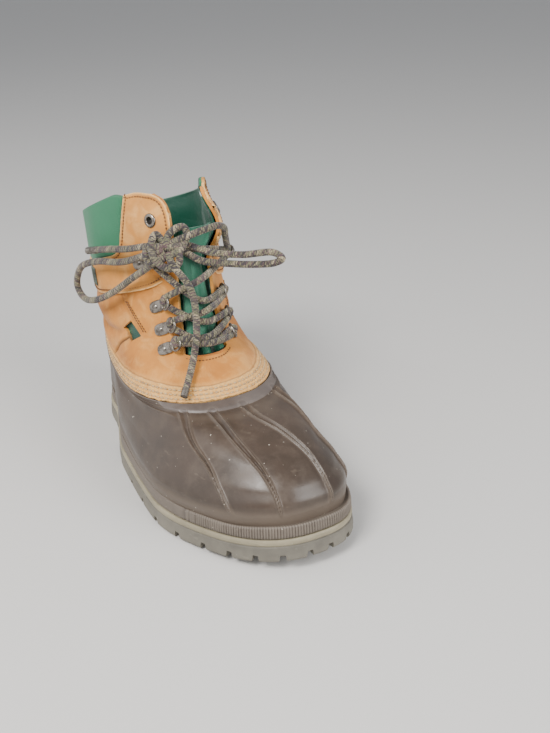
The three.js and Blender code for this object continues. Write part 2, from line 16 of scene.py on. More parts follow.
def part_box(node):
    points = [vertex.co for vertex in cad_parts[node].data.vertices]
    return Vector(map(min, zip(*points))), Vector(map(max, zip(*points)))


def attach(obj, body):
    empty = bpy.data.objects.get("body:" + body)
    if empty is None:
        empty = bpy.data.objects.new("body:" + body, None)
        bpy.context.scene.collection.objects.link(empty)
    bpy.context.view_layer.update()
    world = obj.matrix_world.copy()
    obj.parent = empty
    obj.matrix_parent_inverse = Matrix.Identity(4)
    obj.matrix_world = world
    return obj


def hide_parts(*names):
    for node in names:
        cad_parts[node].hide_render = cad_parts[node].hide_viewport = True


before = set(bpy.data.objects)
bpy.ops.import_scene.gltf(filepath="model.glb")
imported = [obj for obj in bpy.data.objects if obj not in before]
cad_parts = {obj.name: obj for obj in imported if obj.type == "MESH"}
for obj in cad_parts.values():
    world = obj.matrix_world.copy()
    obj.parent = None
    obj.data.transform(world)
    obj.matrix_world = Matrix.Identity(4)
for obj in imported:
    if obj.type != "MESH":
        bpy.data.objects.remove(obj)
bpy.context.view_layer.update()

MM = 0.001

# The boot's own sizes, as in the part's source
LENGTH = 300.0
HALF_BALL = 65.0
HEIGHT = 212.0
SOLE_THICK = 16.8
STRIP_HIGH = 9.4
TOE_SPRING = 9.0
SPRING_START = 0.7
LACE_WIDE = 5.0
LEATHER_WALL = 2.2
CUFF_GAP = 0.45
CUFF_WALL = 1.6
# The levels of the shell's rim and of the collar
RIM = 5.0
COLLAR = 10.0
# The loosened inner flap: how far it leans, between which levels and up to which turn
FLAP_LEAN = 12.0
FLAP_LEAN_LEVELS = (9.05, 9.5)
FLAP_LEAN_END = 1.44
# Shares of the length from the heel where the half widths hold, and the sole's bend at each
STATIONS = np.array([0, 0.16, 0.42, 0.66, 0.86, 1])
BEND = np.array([0, 0, -0.069, -0.085, 0.023, 0.115])

# Columns: back, front, three heights, four half widths, bend, heel round, toe round, square, spring
LEVELS = np.array([
    [0.023, 0.973, 0.126, 0.126, 0.126, 0.631, 0.877, 0.923, 0.846, 1, 0.17, 0.36, 2.5, 1],
    [0.007, 0.98, 0.189, 0.18, 0.18, 0.66, 0.88, 0.955, 0.892, 1, 0.18, 0.36, 2.4, 0.9],
    [0.003, 0.963, 0.264, 0.245, 0.24, 0.66, 0.865, 0.86, 0.835, 0.9, 0.2, 0.38, 2.3, 0.5],
    [0.003, 0.91, 0.321, 0.288, 0.302, 0.65, 0.83, 0.8, 0.765, 0.8, 0.22, 0.43, 2.3, 0.2],
    [0.003, 0.79, 0.377, 0.311, 0.354, 0.64, 0.79, 0.79, 0.785, 0.7, 0.25, 0.42, 2.3, 0],
    [0.007, 0.655, 0.429, 0.335, 0.366, 0.625, 0.755, 0.8, 0.8, 0.6, 0.28, 0.36, 2.4, 0],
    [0.013, 0.6, 0.481, 0.406, 0.42, 0.625, 0.735, 0.735, 0.67, 0.6, 0.3, 0.42, 2.3, 0],
    [0.02, 0.547, 0.533, 0.481, 0.476, 0.646, 0.738, 0.677, 0.554, 0.6, 0.32, 0.46, 2.2, 0],
    [0.02, 0.51, 0.613, 0.594, 0.585, 0.662, 0.738, 0.631, 0.492, 0.4, 0.34, 0.5, 2.1, 0],
    [0.007, 0.473, 0.698, 0.708, 0.717, 0.692, 0.738, 0.6, 0.462, 0.2, 0.36, 0.52, 2, 0],
    [-0.01, 0.417, 0.769, 0.877, 1, 0.692, 0.708, 0.6, 0.477, 0, 0.38, 0.52, 2, 0],
])
SOLE_EDGE = np.array([0, 1, 0, 0, 0, 0.677, 0.908, 0.962, 0.877, 1, 0.17, 0.36, 2.5, 1])


def smooth(keys, values, at):
    """The smooth monotone curve through (keys, values) at each number of at; values may differ per number."""
    keys = np.asarray(keys, float)
    values = np.asarray(values, float)
    step = np.diff(keys)
    rise = np.diff(values, axis=-1) / step
    before = rise[..., :-1]
    after = rise[..., 1:]
    turning = before * after <= 0
    near = step[:-1]
    following = step[1:]
    blend = (3 * near + 3 * following) / (
        (2 * following + near) / np.where(turning, 1, before)
        + (following + 2 * near) / np.where(turning, 1, after)
    )
    slope = np.concatenate([rise[..., :1], np.where(turning, 0, blend), rise[..., -1:]], axis=-1)
    shape = np.broadcast_shapes(np.shape(at), values.shape[:-1])
    at = np.broadcast_to(np.clip(at, keys[0], keys[-1]), shape)
    i = np.clip(np.searchsorted(keys, at, side="left") - 1, 0, len(keys) - 2)

    def pick(table, k):
        return np.take_along_axis(np.broadcast_to(table, shape + keys.shape), k[..., None], -1)[..., 0]

    t = (at - keys[i]) / step[i]
    return (
        (2 * t**3 - 3 * t**2 + 1) * pick(values, i)
        + (t**3 - 2 * t**2 + t) * step[i] * pick(slope, i)
        + (3 * t**2 - 2 * t**3) * pick(values, i + 1)
        + (t**3 - t**2) * step[i] * pick(slope, i + 1)
    )


def level_row(u):
    """The columns of LEVELS at the levels u."""
    return smooth(np.arange(len(LEVELS)), LEVELS.T, np.asarray(u, float)[..., None])


def lift(share):
    """How far the toe springs up at a share of the length from the heel."""
    return TOE_SPRING * np.maximum(0, (share - SPRING_START) / (1 - SPRING_START)) ** 2


def loop_point(row, turn, inset=0.0, rise=0.0):
    """The point of a level's loop at turn, before the part's origin is set."""
    turn = np.asarray(turn, float)
    inset = np.asarray(inset, float)
    share = (1 - np.cos(np.pi * turn)) / 2
    side = np.where(np.sin(np.pi * turn) >= 0, -1.0, 1.0)
    wide = row[..., 5:9] * HALF_BALL - inset[..., None]
    heel, waist, ball, toe = (wide[..., k] for k in range(4))
    half = smooth(STATIONS, np.stack([heel * 0.98, heel, waist, ball, toe, toe * 0.97], -1), share)
    heel_round = row[..., 10]
    heel_part = np.sqrt(np.clip(1 - (1 - np.minimum(share / heel_round, 1)) ** 2, 0, 1))
    past = np.maximum(0, (share - 1 + row[..., 11]) / row[..., 11])
    toe_part = np.maximum(0, 1 - past ** row[..., 12]) ** (1 / row[..., 12])
    back = row[..., 0] * LENGTH + inset
    front = row[..., 1] * LENGTH - inset
    x = back + (front - back) * share
    centre = smooth(STATIONS, BEND, x / LENGTH) * row[..., 9] * HALF_BALL
    high = smooth([0, 0.45, 1], row[..., 2:5], share) * HEIGHT
    z = high + row[..., 13] * lift(x / LENGTH) + rise
    return np.stack([x - LENGTH / 2, centre + side * half * heel_part * toe_part, z], -1)


# The part's origin is under the middle of its box, so the same shift is found from the outsole.
sole_low, sole_high = (np.array(corner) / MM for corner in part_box("outsole"))
sole_ring = loop_point(SOLE_EDGE, np.arange(56) / 28, -1.0, 2.2)
SHIFT = (sole_low + sole_high) / 2 - (sole_ring.min(0) + sole_ring.max(0)) / 2
SHIFT[2] = 0.0


def unit(vectors):
    """The vectors at length 1."""
    return vectors / np.maximum(np.linalg.norm(vectors, axis=-1, keepdims=True), 1e-9)


def rounded(t):
    """Eases 0 to 1."""
    t = np.clip(t, 0, 1)
    return t * t * (3 - 2 * t)


def flap_lean(level, turn):
    """How far the loosened inner eyelet flap falls open to the inner side."""
    around = np.mod(turn, 2)
    low, middle = FLAP_LEAN_LEVELS
    back = 0.85 * rounded((level - middle) / (COLLAR - middle))
    high = rounded((level - low) / (middle - low)) * (1 - back)
    return FLAP_LEAN * high * rounded((FLAP_LEAN_END - around) / 0.2) * rounded((around - 1.0) / 0.1)


def spot_at(level, turn):
    """The boot's surface at a level and turn."""
    spot = loop_point(level_row(level), turn) + SHIFT
    spot[..., 1] += flap_lean(level, turn)
    return spot


def surface(u, turn):
    """The boot's surface at (u, turn): the spot, the way out of it, up it and along it."""
    near = 0.02
    u, turn = np.broadcast_arrays(np.asarray(u, float), np.asarray(turn, float))
    level = np.clip(u, 0, COLLAR)
    low_level = np.maximum(0, level - near)
    high_level = np.minimum(COLLAR, level + near)
    rise = spot_at(high_level, turn) - spot_at(low_level, turn)
    up = unit(rise)
    beyond = np.maximum(0, u - COLLAR) / (high_level - low_level)
    at = spot_at(level, turn) + rise * beyond[..., None]
    along = unit(spot_at(level, turn + near) - spot_at(level, turn - near))
    out = unit(np.cross(along, up))
    return at, out, up, along


def skin(u, turn, off=0.0):
    """The point that stands off the boot's surface by off."""
    at, out, _, _ = surface(u, turn)
    return at + out * np.broadcast_to(off, at.shape[:-1])[..., None]


def edge(turn, inset, rise):
    """A point of the sole's outline."""
    return loop_point(SOLE_EDGE, turn, inset, rise) + SHIFT


def place(shares):
    """A point given as shares of the length from the heel, of HALF_BALL and of HEIGHT."""
    return np.asarray(shares) * [LENGTH, HALF_BALL, HEIGHT] - [LENGTH / 2, 0, 0] + SHIFT


def hump(distance, reach):
    """1 on a line, falling softly to about a seventh at reach and to nothing beyond it."""
    return np.exp(-((distance / reach) ** 2) * 2)


def through(points, step):
    """A smooth path through the points, with a spot about every step."""
    points = np.asarray(points, float)
    ends = [2 * points[0] - points[1], *points, 2 * points[-1] - points[-2]]
    made = []
    for a, b, c, d in zip(ends, ends[1:], ends[2:], ends[3:]):
        gaps = [max(np.linalg.norm(way), 1e-6) ** 0.5 for way in (b - a, c - b, d - c)]
        times = np.cumsum([0, *gaps])
        count = max(2, int(np.linalg.norm(c - b) / step) + 1)
        t = np.linspace(times[1], times[2], count, endpoint=False)[:, None]
        t0, t1, t2, t3 = times
        ab = (t1 - t) / (t1 - t0) * a + (t - t0) / (t1 - t0) * b
        bc = (t2 - t) / (t2 - t1) * b + (t - t1) / (t2 - t1) * c
        cd = (t3 - t) / (t3 - t2) * c + (t - t2) / (t3 - t2) * d
        abc = (t2 - t) / (t2 - t0) * ab + (t - t0) / (t2 - t0) * bc
        bcd = (t3 - t) / (t3 - t1) * bc + (t - t1) / (t3 - t1) * cd
        made.append((t2 - t) / (t2 - t1) * abc + (t - t1) / (t2 - t1) * bcd)
    made.append(points[-1:])
    return np.concatenate(made)


def evenly(path, step):
    """The path with its spots step apart."""
    run = np.concatenate([[0], np.cumsum(np.linalg.norm(np.diff(path, axis=0), axis=1))])
    count = max(2, int(round(run[-1] / step)) + 1)
    at = np.linspace(0, run[-1], count)
    return np.stack([np.interp(at, run, path[:, k]) for k in range(path.shape[1])], -1)


def route(knots, step=0.01):
    """A smooth line of (u, turn) through the knots, about step apart."""
    return through([(k[0] * 0.1, k[1]) for k in knots], step) * [10, 1]


def on_skin(knots):
    """The route through the knots as points on the boot."""
    line = route(knots)
    return skin(line[:, 0], line[:, 1])


def distance(points, line):
    """How far each point is from the nearest spot of the line."""
    flat = points.reshape(-1, 3)
    line = evenly(line, 0.7)
    nearest = np.empty(len(flat))
    for start in range(0, len(flat), 4000):
        part = flat[start:start + 4000]
        nearest[start:start + 4000] = np.sqrt(((part[:, None] - line[None]) ** 2).sum(-1)).min(1)
    return nearest.reshape(points.shape[:-1])


RIPPLE_WAVES = 7


def ripple(points, wavelength, seed):
    """A gentle unevenness, mostly between -1 and 1, made of a few crossing waves."""
    made = np.random.default_rng(seed)
    total = 0
    for _ in range(RIPPLE_WAVES):
        way = unit(made.normal(size=3)) * 2 * np.pi / (wavelength * made.uniform(0.7, 1.5))
        total = total + np.sin(points @ way + made.uniform(0, 6.28))
    return total / 4


# The camera of the photograph, from its fitted angles and distance
CAMERA_TURN = math.radians(26.961)
CAMERA_RISE = math.radians(26.233)
CAMERA_ROLL = math.radians(-2.1)
CAMERA_AWAY = 703.144
CAMERA_AIM = np.array([17.304, 46.989, 77.085])
FOCAL_PIXELS = 947.706
IMAGE_HIGH = 733
SENSOR = 36.0


def make_camera():
    """Sets the camera at the photograph's viewing angle."""
    back = Vector((
        math.cos(CAMERA_TURN) * math.cos(CAMERA_RISE),
        -math.sin(CAMERA_TURN) * math.cos(CAMERA_RISE),
        math.sin(CAMERA_RISE),
    ))
    level = Vector((math.sin(CAMERA_TURN), math.cos(CAMERA_TURN), 0))
    upright = back.cross(level)
    right = level * math.cos(CAMERA_ROLL) + upright * math.sin(CAMERA_ROLL)
    up = upright * math.cos(CAMERA_ROLL) - level * math.sin(CAMERA_ROLL)
    data = bpy.data.cameras.new("camera")
    data.sensor_width = SENSOR
    data.lens = FOCAL_PIXELS * SENSOR / IMAGE_HIGH
    data.clip_start = 0.01
    camera = bpy.data.objects.new("camera", data)
    bpy.context.scene.collection.objects.link(camera)
    turned = Matrix((right, up, back)).transposed().to_4x4()
    spot = Vector((CAMERA_AIM + SHIFT) * MM) + back * CAMERA_AWAY * MM
    camera.matrix_world = Matrix.Translation(spot) @ turned
    bpy.context.scene.camera = camera


make_camera()


class Value:
    """A shader socket that Python arithmetic works on; each operation adds its Math node."""

    def __init__(self, finish, socket):
        self.finish = finish
        self.socket = socket

    def __add__(self, other):
        return self.finish.math("ADD", self, other)

    def __sub__(self, other):
        return self.finish.math("SUBTRACT", self, other)

    def __rsub__(self, other):
        return self.finish.math("SUBTRACT", other, self)

    def __mul__(self, other):
        return self.finish.math("MULTIPLY", self, other)

    def __truediv__(self, other):
        return self.finish.math("DIVIDE", self, other)

    def __pow__(self, other):
        return self.finish.math("POWER", self, other)

    __radd__ = __add__
    __rmul__ = __mul__

    def sine(self):
        """The sine of the value."""
        return self.finish.math("SINE", self)

    def whole(self):
        """The value without its fraction."""
        return self.finish.math("FLOOR", self)

    def between(self, low, high):
        """0 below low, 1 above high, and soft between."""
        settings = {"interpolation_type": "SMOOTHSTEP"}
        return self.finish.node("ShaderNodeMapRange", settings, {0: self, 1: low, 2: high})


class Finish:
    """A material under construction."""

    def __init__(self, name):
        self.material = bpy.data.materials.new(name)
        self.material.use_nodes = True
        self.tree = self.material.node_tree
        self.tree.nodes.clear()

    def node(self, kind, settings=None, inputs=None, out=0):
        """Adds a node: its settings first, then the values or links of its sockets."""
        made = self.tree.nodes.new(kind)
        for key, value in (settings or {}).items():
            if key == "stops":
                self.set_stops(made.color_ramp, value)
            else:
                setattr(made, key, value)
        for key, value in (inputs or {}).items():
            if isinstance(value, Value):
                self.tree.links.new(value.socket, made.inputs[key])
            else:
                made.inputs[key].default_value = value
        return Value(self, made.outputs[out]) if made.outputs else made

    @staticmethod
    def set_stops(ramp, stops):
        """Fills a colour ramp with (place, colour) stops."""
        while len(ramp.elements) < len(stops):
            ramp.elements.new(0.5)
        for element, (where, colour) in zip(ramp.elements, stops):
            element.position = where
            element.color = (*colour[:3], 1)

    def math(self, operation, *terms):
        """A Math node on the terms."""
        return self.node("ShaderNodeMath", {"operation": operation}, dict(enumerate(terms)))

    def mix(self, share, first, second):
        """A colour between the first and the second."""
        inputs = {0: share, 6: colour_of(first), 7: colour_of(second)}
        return self.node("ShaderNodeMix", {"data_type": "RGBA"}, inputs, out=2)

    def noise(self, scale, detail=2.0, rough=0.5, where=None, bend=0.0):
        """Noise between 0 and 1 with features of about 1 / scale metres."""
        inputs = {"Vector": where or self.spot(), "Scale": scale, "Detail": detail, "Roughness": rough,
                  "Distortion": bend}
        return self.node("ShaderNodeTexNoise", None, inputs)

    def spot(self):
        """The place on the piece, in metres."""
        return self.node("ShaderNodeTexCoord", None, None, out="Object")

    def cloth(self, axis):
        """One coordinate of the piece's own UV map, in metres."""
        both = self.node("ShaderNodeUVMap", {"uv_map": "cloth"})
        return self.node("ShaderNodeSeparateXYZ", None, {0: both}, out=axis)

    def mark(self, name):
        """A number painted on the piece's points."""
        return self.node("ShaderNodeAttribute", {"attribute_name": name}, None, out="Fac")

    def stretched(self, scale):
        """The place on the piece with each axis scaled on its own."""
        return self.node("ShaderNodeMapping", None, {"Vector": self.spot(), "Scale": scale})

    def bump(self, height, deep, strength=1.0, under=None):
        """The normal of a surface with that height, where 1 is deep metres."""
        inputs = {"Strength": strength, "Distance": deep, "Height": height}
        if under:
            inputs["Normal"] = under
        return self.node("ShaderNodeBump", None, inputs)

    def done(self, **sockets):
        """Ends the material in a principled shader with these sockets, and returns it."""
        inputs = {key.replace("_", " "): colour_of(value) for key, value in sockets.items()}
        shader = self.node("ShaderNodeBsdfPrincipled", None, inputs)
        self.node("ShaderNodeOutputMaterial", None, {"Surface": shader})
        return self.material


def paint(code):
    """The linear colour of a six-letter code."""
    parts = [int(code[k:k + 2], 16) / 255 for k in (0, 2, 4)]
    return tuple(c / 12.92 if c <= 0.04045 else ((c + 0.055) / 1.055) ** 2.4 for c in parts)


def colour_of(value):
    """A colour code or three numbers as a socket takes it; anything else is unchanged."""
    if isinstance(value, str):
        value = paint(value)
    if isinstance(value, tuple) and len(value) == 3:
        return (*value, 1)
    return value


def nubuck(name, body, deep, pale):
    """Worn nubuck: soft blotches, a fine nap, pale worn edges and painted shade in the creases."""
    f = Finish(name)
    worn = f.mark("worn")
    soil = f.mark("soil")
    blotch = f.noise(22, 4, 0.6).between(0.32, 0.7)
    patch = f.noise(70, 3, 0.6, bend=0.6)
    grain = f.noise(1500, 3, 0.7)
    pores = f.noise(520, 2, 0.6)
    scratch = f.noise(260, 2, 0.5, where=f.stretched((1, 1, 0.16))).between(0.62, 0.74)
    colour = f.mix(blotch, body, deep)
    colour = f.mix(patch.between(0.45, 0.75) * 0.35, colour, pale)
    colour = f.mix(scratch * 0.22, colour, deep)
    colour = f.mix(grain.between(0.35, 0.8) * 0.3, colour, deep)
    colour = f.mix(worn * (0.45 + 0.55 * pores.between(0.3, 0.6)), colour, pale)
    # Painted shade: darkened towards dark brown where the painted shade mark is high, in creases, furrows and
    # dents.
    colour = f.mix(soil * (0.5 + 0.5 * patch), colour, "4a3421")
    rough = 0.74 + 0.16 * grain + 0.06 * worn
    height = grain * 0.5 + pores * 0.5
    fuzz = f.bump(f.noise(900, 3, 0.8) * worn, 0.0012, 0.7)
    normal = f.bump(height, 0.00035, 0.55, under=fuzz)
    return f.done(Base_Color=colour, Roughness=rough, Normal=normal, Sheen_Weight=0.12, Sheen_Roughness=0.5,
                  Specular_IOR_Level=0.3)


def rubber(name, body, deep, dusty, shine, specks=0.5):
    """Worn satin rubber with dust in its hollows, smudges and a few pale specks."""
    f = Finish(name)
    dust = f.mark("dust")
    cloud = f.noise(16, 5, 0.65, bend=0.4)
    film = f.noise(60, 4, 0.7).between(0.4, 0.75)
    speck = f.noise(420, 1, 0.5).between(0.765, 0.79)
    fine = f.noise(1800, 2, 0.6)
    scuff = f.noise(300, 2, 0.5, where=f.stretched((0.35, 0.35, 1))).between(0.66, 0.76)
    colour = f.mix(cloud.between(0.3, 0.72), body, deep)
    colour = f.mix(film * 0.2, colour, dusty)
    colour = f.mix(dust * (0.35 + 0.65 * cloud), colour, dusty)
    colour = f.mix(scuff * 0.25, colour, dusty)
    colour = f.mix(speck * specks, colour, "cfc8ba")
    rough = shine + 0.14 * film + 0.25 * dust + 0.06 * cloud
    ripple_height = f.noise(150, 2, 0.5) * 0.7 + fine * 0.3
    normal = f.bump(ripple_height, 0.0003, 0.35)
    return f.done(Base_Color=colour, Roughness=rough, Normal=normal, Specular_IOR_Level=0.45)


def nylon(name, body, deep, pitch, shine, relief=0.6):
    """Plain-woven nylon: crossing threads at their pitch, faded and a little dusty, with painted shade where
    marked.
    """
    f = Finish(name)
    across = (f.cloth("X") * (2 * math.pi / pitch)).sine()
    up = (f.cloth("Y") * (2 * math.pi / pitch)).sine()
    weave = across * up * 0.5 + 0.5
    blotch = f.noise(35, 4, 0.6)
    soil = f.mark("soil")
    lint = f.noise(700, 2, 0.6).between(0.6, 0.85)
    colour = f.mix(weave * 0.55 + blotch * 0.35, deep, body)
    colour = f.mix(lint * 0.16, colour, "a9bfa9")
    # Painted shade: darkened towards near-black green where the painted shade mark is high.
    colour = f.mix(soil * 0.9, colour, "07140e")
    rough = shine + 0.15 * blotch - 0.1 * weave
    creases = f.bump(f.noise(120, 3, 0.6), 0.0012, 0.3)
    normal = f.bump(weave, 0.00022, relief, under=creases)
    return f.done(Base_Color=colour, Roughness=rough, Normal=normal, Sheen_Weight=0.15, Sheen_Roughness=0.4)


def braid(name):
    """Round braided cord: two crossing families of strands, each cell in one of the yarn colours, with
    painted shade in the grooves between them.
    """
    f = Finish(name)
    run = f.cloth("X") * 520
    ring = f.cloth("Y") * 5
    first = run + ring
    second = run - ring
    over = (run * 2).whole() * 0.5
    strand_of = f.node("ShaderNodeCombineXYZ", None, {0: first.whole(), 1: over - over.whole()})
    pick = f.node("ShaderNodeTexWhiteNoise", {"noise_dimensions": "2D"}, {"Vector": strand_of})
    yarns = [(0, paint("877f60")), (0.22, paint("231d1e")), (0.38, paint("6c6b50")), (0.54, paint("63474b")),
             (0.7, paint("b0a282")), (0.84, paint("3a323a"))]
    ramp = f.node("ShaderNodeValToRGB", {"stops": yarns}, {0: pick})
    ramp.socket.node.color_ramp.interpolation = "CONSTANT"
    wave = (first * math.pi).sine() * (second * math.pi).sine()
    strand = wave * wave
    grime = f.noise(90, 3, 0.6)
    # Painted shade: the grooves between the strands are darkened towards dark brown.
    colour = f.mix(0.6 * (1 - strand), ramp, "2f2a25")
    colour = f.mix(grime.between(0.45, 0.8) * 0.3, colour, "7d7564")
    normal = f.bump(strand + 0.3 * f.noise(2400, 2, 0.5), 0.0005, 0.9)
    return f.done(Base_Color=colour, Roughness=0.72 + 0.1 * grime, Normal=normal, Sheen_Weight=0.2)


def plated(name):
    """Worn nickel plate: fine scratches and a little tarnish."""
    f = Finish(name)
    tarnish = f.noise(210, 4, 0.7).between(0.4, 0.66)
    scratch = f.noise(900, 2, 0.6, where=f.stretched((1, 0.2, 1)))
    colour = f.mix(tarnish * 0.85, "8d877f", "372f28")
    rough = 0.19 + 0.26 * tarnish + 0.1 * scratch
    normal = f.bump(f.noise(500, 3, 0.6), 0.0003, 0.25)
    return f.done(Base_Color=colour, Roughness=rough, Normal=normal, Metallic=0.95 - 0.3 * tarnish)


def felt(name):
    """Pressed dark felt."""
    f = Finish(name)
    fibre = f.noise(900, 4, 0.8, bend=1.5)
    colour = f.mix(fibre, "2d2b27", "5b574d")
    return f.done(Base_Color=colour, Roughness=0.95, Normal=f.bump(fibre, 0.001, 0.8), Sheen_Weight=0.3)


def webbing(name):
    """Plain ribbed webbing."""
    f = Finish(name)
    rib = (f.cloth("Y") * (2 * math.pi / 0.0011)).sine() * 0.5 + 0.5
    colour = f.mix(rib * 0.6 + 0.4 * f.noise(300, 3, 0.6), "37403a", "6f776b")
    return f.done(Base_Color=colour, Roughness=0.8, Normal=f.bump(rib, 0.0004, 0.8))


def twine(name, body):
    """Waxed stitching thread."""
    f = Finish(name)
    colour = f.mix(f.noise(300, 2, 0.6), body, "5d3c22")
    return f.done(Base_Color=colour, Roughness=0.6, Normal=f.bump(f.noise(3000, 2, 0.5), 0.0002, 0.5))


LEATHER = nubuck("nubuck", "cb8a3d", "a76828", "e3b56e")
CUFF_LEATHER = nubuck("nubuck_cuff", "d6974c", "b67834", "ecc382")
SHELL = rubber("shell_rubber", "463a31", "372e27", "6f6357", 0.28)
BAND = rubber("band_rubber", "5f5753", "4d4541", "857b73", 0.34)
STRIP = rubber("strip_rubber", "544a44", "433b35", "8a8073", 0.42)
SOLE = rubber("sole_rubber", "6e6a60", "54514a", "948e80", 0.6)
SOLE_BAND = rubber("sole_band_rubber", "978f78", "7b735f", "b0a891", 0.5, 0.2)
PANEL = nylon("panel_nylon", "33805a", "17563a", 0.0012, 0.6)
TONGUE = nylon("tongue_nylon", "2b7a5b", "0e4736", 0.0009, 0.42)
LINING = nylon("lining_nylon", "1b5743", "08352a", 0.0009, 0.26, 0.35)
LACE = braid("lace_braid")
NICKEL = plated("nickel_plate")
FELT = felt("insole_felt")
WEBBING = webbing("side_webbing")
THREAD = twine("brown_thread", "6d4424")
PALE_THREAD = twine("pale_thread", "e6c794")


def new_object(name, mesh, node=None):
    """Links a mesh as a piece of the boot, which may stand for a node."""
    made = bpy.data.objects.new(name, mesh)
    bpy.context.scene.collection.objects.link(made)
    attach(made, "root")
    if node:
        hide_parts(node)
    return made


def raw_mesh(name, points, faces, finishes, cloth):
    """A mesh from points and UV in millimetres."""
    mesh = bpy.data.meshes.new(name)
    mesh.from_pydata((points.reshape(-1, 3) * MM).tolist(), [], faces)
    for finish in finishes:
        mesh.materials.append(finish)
    corners = np.zeros(len(mesh.loops), np.int32)
    mesh.loops.foreach_get("vertex_index", corners)
    layer = mesh.uv_layers.new(name="cloth")
    layer.uv.foreach_set("vector", (cloth.reshape(-1, 2)[corners] * MM).ravel())
    return mesh


def mesh_of(name, points, faces, finishes, cloth, marks=None, which=None, sharp=50, fold=None, holes=()):
    """A mesh of a grid, with holes cut in it; which picks a finish per face, fold pulls the open edges in."""
    mesh = raw_mesh(name, points, faces.tolist(), finishes, cloth)
    if which is not None:
        mesh.polygons.foreach_set("material_index", np.asarray(which, np.int32))
    for key, values in (marks or {}).items():
        layer = mesh.attributes.new(key, "FLOAT", "POINT")
        layer.data.foreach_set("value", np.asarray(values, np.float32).ravel())
    work = bmesh.new()
    work.from_mesh(mesh)
    bmesh.ops.remove_doubles(work, verts=work.verts, dist=2e-6)
    loose = [v for v in work.verts if not v.link_faces]
    bmesh.ops.delete(work, geom=loose, context="VERTS")
    for hole in holes:
        open_hole(work, *hole)
    if fold:
        fold_edges(work, fold)
    for face in work.faces:
        face.smooth = True
    work.to_mesh(mesh)
    work.free()
    mesh.set_sharp_from_angle(angle=math.radians(sharp))
    return mesh


def open_hole(work, centre, out, corners):
    """Cuts the sheet along the convex outline of the corners and takes its inside away."""
    centre = Vector(centre * MM)
    corners = [Vector(corner * MM) for corner in corners]
    reach = 1.6 * max((corner - centre).length for corner in corners)
    near = [face for face in work.faces if (face.calc_center_median() - centre).length < reach]
    near = [*near, *{e for face in near for e in face.edges}, *{v for face in near for v in face.verts}]
    walls = []
    for start, end in zip(corners, corners[1:] + corners[:1]):
        away = (end - start).cross(Vector(out)).normalized()
        if away.dot(start - centre) < 0:
            away = -away
        walls.append((start, away))
        near = bmesh.ops.bisect_plane(work, geom=near, dist=1e-7, plane_co=start, plane_no=away)["geom"]
    within = [piece for piece in near if isinstance(piece, bmesh.types.BMFace)
              and all((piece.calc_center_median() - start).dot(away) < 0 for start, away in walls)]
    bmesh.ops.delete(work, geom=within, context="FACES")


def fold_edges(work, depth):
    """Gives an open sheet its thickness at the edges: each open edge is pulled in by depth."""
    work.normal_update()
    ways = {tuple(round(c, 7) for c in v.co): v.normal.copy() for v in work.verts if v.is_boundary}
    rim = [e for e in work.edges if e.is_boundary]
    made = bmesh.ops.extrude_edge_only(work, edges=rim)["geom"]
    for vertex in made:
        if isinstance(vertex, bmesh.types.BMVert):
            vertex.co -= ways[tuple(round(c, 7) for c in vertex.co)] * depth * MM


def grid_faces(rows, columns):
    """The quads of a grid whose second index runs along the boot and whose first runs up it."""
    i, j = np.meshgrid(np.arange(rows - 1), np.arange(columns - 1), indexing="ij")
    low = (i * columns + j).ravel()
    return np.stack([low, low + 1, low + columns + 1, low + columns], -1)


def measured(points):
    """UV of a grid in millimetres: the run along each row and up each column."""
    along = np.linalg.norm(np.diff(points, axis=1), axis=-1)
    along = np.concatenate([np.zeros((len(points), 1)), np.cumsum(along, 1)], 1)
    along = along - along[:, along.shape[1] // 2][:, None]
    up = np.linalg.norm(np.diff(points, axis=0), axis=-1)
    up = np.concatenate([np.zeros((1, points.shape[1])), np.cumsum(up, 0)], 0)
    return np.stack([along, up], -1)


def cell_sizes(u, turn):
    """How many millimetres one unit of u and one of turn are at each spot."""
    step = 0.02
    up = np.linalg.norm(skin(u + step, turn) - skin(u - step, turn), axis=-1) / (2 * step)
    along = np.linalg.norm(skin(u, turn + step) - skin(u, turn - step), axis=-1) / (2 * step)
    return np.maximum(up, 1.0), np.maximum(along, 1.0)


def hole_at(outline):
    """A hole's middle, its way out and its corners, from an outline in (u, turn)."""
    outline = np.asarray(outline, float)
    middle = outline.mean(0)
    at, out, _, _ = (v[0] for v in surface(middle[:1], middle[1:]))
    return at, out, skin(outline[:, 0], outline[:, 1])


def beside(line, gap):
    """The (u, turn) line moved by gap millimetres: upwards where the line runs on round the boot."""
    line = np.asarray(line, float)
    scale = np.stack(cell_sizes(line[:, 0], line[:, 1]), -1)
    way = np.gradient(line, axis=0) * scale
    way = way / np.linalg.norm(way, axis=1, keepdims=True)
    return line + np.stack([way[:, 1], -way[:, 0]], -1) / scale * gap


def circle(level, turn, radius):
    """A round outline in (u, turn) with that radius in millimetres."""
    up, along = cell_sizes(np.array([level]), np.array([turn]))
    angle = np.linspace(0, 2 * np.pi, 16, endpoint=False)
    return np.stack([level + radius * np.sin(angle) / up[0], turn + radius * np.cos(angle) / along[0]], -1)


